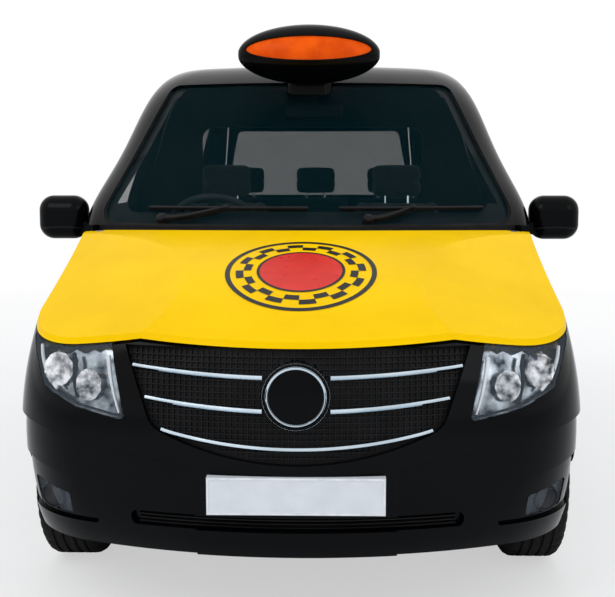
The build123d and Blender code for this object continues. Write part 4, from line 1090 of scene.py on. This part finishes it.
def add_cabin_details():
    """The instrument hood, air vents, a blank centre screen and the gear lever."""
    hood = Builder()
    rings = []
    for y, half_x, rise in HOOD_SECTIONS:
        outer = [(-0.42 + half_x * math.cos(math.pi * k / 18), y, 1.125 + rise * math.sin(math.pi * k / 18))
                 for k in range(19)]
        inner = [(-0.42 + (half_x - 0.012) * math.cos(math.pi * k / 18), y,
                  1.118 + (rise - 0.010) * math.sin(math.pi * k / 18)) for k in range(18, -1, -1)]
        rings.append(outer + inner)
    hood.rings(rings)
    hood.make("instrument_hood", "black_plastic")
    tree = tree_of("dashboard")
    vents = Builder()
    for x in (-0.70, -0.13, 0.13, 0.70):
        run = [(px, 0, pz) for px, pz in rounded_run((x, 1.06), (0.062, 0.034), 0.016)]
        vents.sweep(lay(tree, run, FORWARD), strip_profile(0.010, 0.008), closed=True)
        for k in range(4):
            z = 1.040 + 0.0135 * k
            slat = straight((x - 0.055, 0, z), (x + 0.055, 0, z), 6)
            vents.sweep(lay(tree, slat, FORWARD), strip_profile(0.005, 0.006))
    vents.make("air_vents", "black_plastic")
    screen = Builder()
    run = [(x, 0, z) for x, z in rounded_run((0, 0.965), (0.095, 0.055), 0.012)]
    raised_pad(screen, tree, run, FORWARD, 0.010, 0.006)
    screen.make("centre_screen", "gloss_black")
    lever = Builder()
    run = smooth_run([(-0.16, -0.872, 0.86), (-0.16, -0.82, 0.90), (-0.16, -0.79, 0.955)], 12)
    lever.sweep([(p, Vector((1, 0, 0))) for p in run], lambda t: round_profile(0.011 - 0.003 * t))
    lever.revolve(Vector((-0.16, -0.79, 0.950)), (0, 0.3, 1),
                  [(0.0, 0.010), (0.010, 0.020), (0.035, 0.024), (0.055, 0.018), (0.060, 0.0)], 24)
    lever.make("gear_lever", "black_plastic")


# Bonnet hinges: the fixed pin's place, the rolled eye's section along and out, and the leaf's run by y and z
HINGE_AT = (0.812, -1.330, 1.170)
HINGE_EYE = ((-0.0135, 0.0045), (-0.0135, 0.008), (0.0135, 0.008), (0.0135, 0.0045))
HINGE_LEAF = ((-1.334, 1.175), (-1.345, 1.176), (-1.356, 1.177), (-1.366, 1.178))


def add_bonnet_hinges():
    """Hinge leaves from the bonnet's rear corners, rolled round the fixed pins."""
    form = Builder()
    for side in (-1, 1):
        x, y, z = HINGE_AT
        form.revolve(Vector((side * x, y, z)), (1, 0, 0), HINGE_EYE, 32, closed_profile=True)
        path = [(Vector((side * x, leaf_y, leaf_z)), UP) for leaf_y, leaf_z in HINGE_LEAF]
        form.sweep(path, strip_profile(0.026, 0.003, 0.003))
    form.make("bonnet_hinges", "steel", "bonnet_lid")


# A generic round on the bonnet: bands by share of the radius, the look, and whether it is checked
BONNET_ROUND = (0.0, -2.03)
ROUND_HALF = (0.252, 0.300)
ROUND_BANDS = (
    ("round_rim", 1.0, 0.935, "black_film", False),
    ("round_checks", 0.86, 0.66, "black_film", True),
    ("round_line", 0.585, 0.545, "black_film", False),
    ("round_disc", 0.545, 0.0, "red_film", False),
)
ROUND_STEPS = 144
CHECK_STEPS = 6


def add_bonnet_round():
    """Thin films on the bonnet: two dark rings, a ring of checks in two rows and a plain red disc."""
    tree = tree_of("bonnet")

    def spot(share, step):
        angle = 2 * math.pi * step / ROUND_STEPS
        point = (BONNET_ROUND[0] + ROUND_HALF[0] * share * math.cos(angle),
                 BONNET_ROUND[1] + ROUND_HALF[1] * share * math.sin(angle), 0)
        place, normal = touch(tree, point, -UP)
        return place + normal * 0.0015

    for name, outer, inner, material, checked in ROUND_BANDS:
        form = Builder()
        rows = 2 if checked else max(1, int((outer - inner) / 0.04))
        for row in range(rows):
            high = outer - (outer - inner) * row / rows
            low = outer - (outer - inner) * (row + 1) / rows
            for step in range(ROUND_STEPS):
                if checked and (step // CHECK_STEPS + row) % 2:
                    continue
                start = len(form.points)
                form.points.extend([spot(high, step), spot(high, step + 1)])
                form.points.extend([spot(low, step + 1), spot(low, step)])
                if low > 0.001:
                    form.faces.append((start, start + 1, start + 2, start + 3))
                else:
                    form.faces.append((start, start + 1, start + 2))
        slot = "black_plastic" if material == "black_film" else "lamp_red"
        form.make(name, material, "bonnet_lid", slot)


# Stage
FLOOR_HALF = 40.0
FLOOR_COLOR = (0.88, 0.88, 0.875)
SKY_COLOR = (0.93, 0.96, 1.0)
SKY_FILL = 0.80
SKY_SHOWN = 1.0
FLOOR_GLOW = (0.55, 1.0)
GLOW_REACH = (3.0, 9.0)
LIGHTS = (
    # name, place, size, energy, whether gloss shows it
    ("key", (-3.4, -6.2, 5.4), 3.6, 110.0, True),
    ("fill", (4.2, -5.4, 3.6), 3.2, 40.0, True),
    ("top", (0.0, 0.4, 6.4), 5.0, 60.0, False),
    ("rear", (1.0, 6.8, 4.2), 3.6, 90.0, False),
)


def glow_for_camera(material):
    """The camera sees the floor fade to white away from the cab, and it keeps its shadow near it."""
    nodes, links = material.node_tree.nodes, material.node_tree.links
    rays = nodes.new("ShaderNodeLightPath")
    place = nodes.new("ShaderNodeNewGeometry")
    distance = nodes.new("ShaderNodeVectorMath")
    distance.operation = "LENGTH"
    links.new(place.outputs["Position"], distance.inputs[0])
    fade = nodes.new("ShaderNodeMapRange")
    for socket, value in zip(("From Min", "From Max", "To Min", "To Max"), GLOW_REACH + FLOOR_GLOW):
        fade.inputs[socket].default_value = value
    links.new(distance.outputs["Value"], fade.inputs["Value"])
    share = nodes.new("ShaderNodeMath")
    share.operation = "MULTIPLY"
    links.new(fade.outputs["Result"], share.inputs[1])
    links.new(rays.outputs["Is Camera Ray"], share.inputs[0])
    glow = nodes.new("ShaderNodeEmission")
    mix = nodes.new("ShaderNodeMixShader")
    links.new(share.outputs["Value"], mix.inputs["Fac"])
    links.new(nodes["Principled BSDF"].outputs["BSDF"], mix.inputs[1])
    links.new(glow.outputs["Emission"], mix.inputs[2])
    links.new(mix.outputs["Shader"], nodes["Material Output"].inputs["Surface"])


def add_stage():
    """A pale floor, a pale surround and large soft lights."""
    mesh = bpy.data.meshes.new("floor")
    half = FLOOR_HALF
    corners = [(-half, -half, 0), (half, -half, 0), (half, half, 0), (-half, half, 0)]
    mesh.from_pydata(corners, [], [(0, 1, 2, 3)])
    floor = bpy.data.objects.new("floor", mesh)
    bpy.context.collection.objects.link(floor)
    material = new_material("pale_floor", FLOOR_COLOR, 0.9, Specular_IOR_Level=0.1)
    vary_color(material, 1.5, tuple(c - 0.01 for c in FLOOR_COLOR), FLOOR_COLOR)
    glow_for_camera(material)
    mesh.materials.append(material)
    world = bpy.data.worlds.new("surround")
    bpy.context.scene.world = world
    world.use_nodes = True
    nodes, links = world.node_tree.nodes, world.node_tree.links
    sky = nodes["Background"]
    sky.inputs["Color"].default_value = (*SKY_COLOR, 1.0)
    sky.inputs["Strength"].default_value = SKY_FILL
    seen = nodes.new("ShaderNodeBackground")
    seen.inputs["Color"].default_value = (1.0, 1.0, 1.0, 1.0)
    seen.inputs["Strength"].default_value = SKY_SHOWN
    rays = nodes.new("ShaderNodeLightPath")
    first = nodes.new("ShaderNodeMath")
    first.operation = "MAXIMUM"
    second = nodes.new("ShaderNodeMath")
    second.operation = "MAXIMUM"
    links.new(rays.outputs["Is Camera Ray"], first.inputs[0])
    links.new(rays.outputs["Is Glossy Ray"], first.inputs[1])
    links.new(first.outputs["Value"], second.inputs[0])
    links.new(rays.outputs["Is Transmission Ray"], second.inputs[1])
    mix = nodes.new("ShaderNodeMixShader")
    links.new(second.outputs["Value"], mix.inputs["Fac"])
    links.new(sky.outputs["Background"], mix.inputs[1])
    links.new(seen.outputs["Background"], mix.inputs[2])
    links.new(mix.outputs["Shader"], nodes["World Output"].inputs["Surface"])
    for name, place, size, energy, shown in LIGHTS:
        light = bpy.data.lights.new(name, "AREA")
        light.size = size
        light.energy = energy
        lamp = bpy.data.objects.new(name, light)
        lamp.location = place
        lamp.visible_camera = False
        lamp.visible_glossy = shown
        lamp.rotation_euler = (Vector((0, -0.6, 0.8)) - Vector(place)).to_track_quat("-Z", "Y").to_euler()
        bpy.context.collection.objects.link(lamp)


def add_camera():
    """The photograph's view."""
    data = bpy.data.cameras.new("camera")
    data.sensor_fit = "HORIZONTAL"
    data.sensor_width = SENSOR_MM
    data.lens = FOCAL_PIXELS / IMAGE_WIDTH * SENSOR_MM
    camera = bpy.data.objects.new("camera", data)
    camera.location = CAMERA_AT
    camera.rotation_euler = (math.radians(90 - CAMERA_PITCH), 0, math.radians(CAMERA_YAW))
    bpy.context.collection.objects.link(camera)
    bpy.context.scene.camera = camera


dress_nodes()
add_seats()
for lamp_side in SIDES:
    headlamp_inside(*lamp_side)
grille_mesh()
slim_bars()
boss_dress()
plate_rims()
fog_and_intake()
add_wipers()
add_seals()
add_handles()
add_side_trim()
add_mirror_glass()
add_sign_trim()
add_rear()
add_wheels()
add_cabin_details()
add_bonnet_hinges()
add_bonnet_round()
add_stage()
add_camera()
bpy.context.scene.view_settings.view_transform = "Standard"
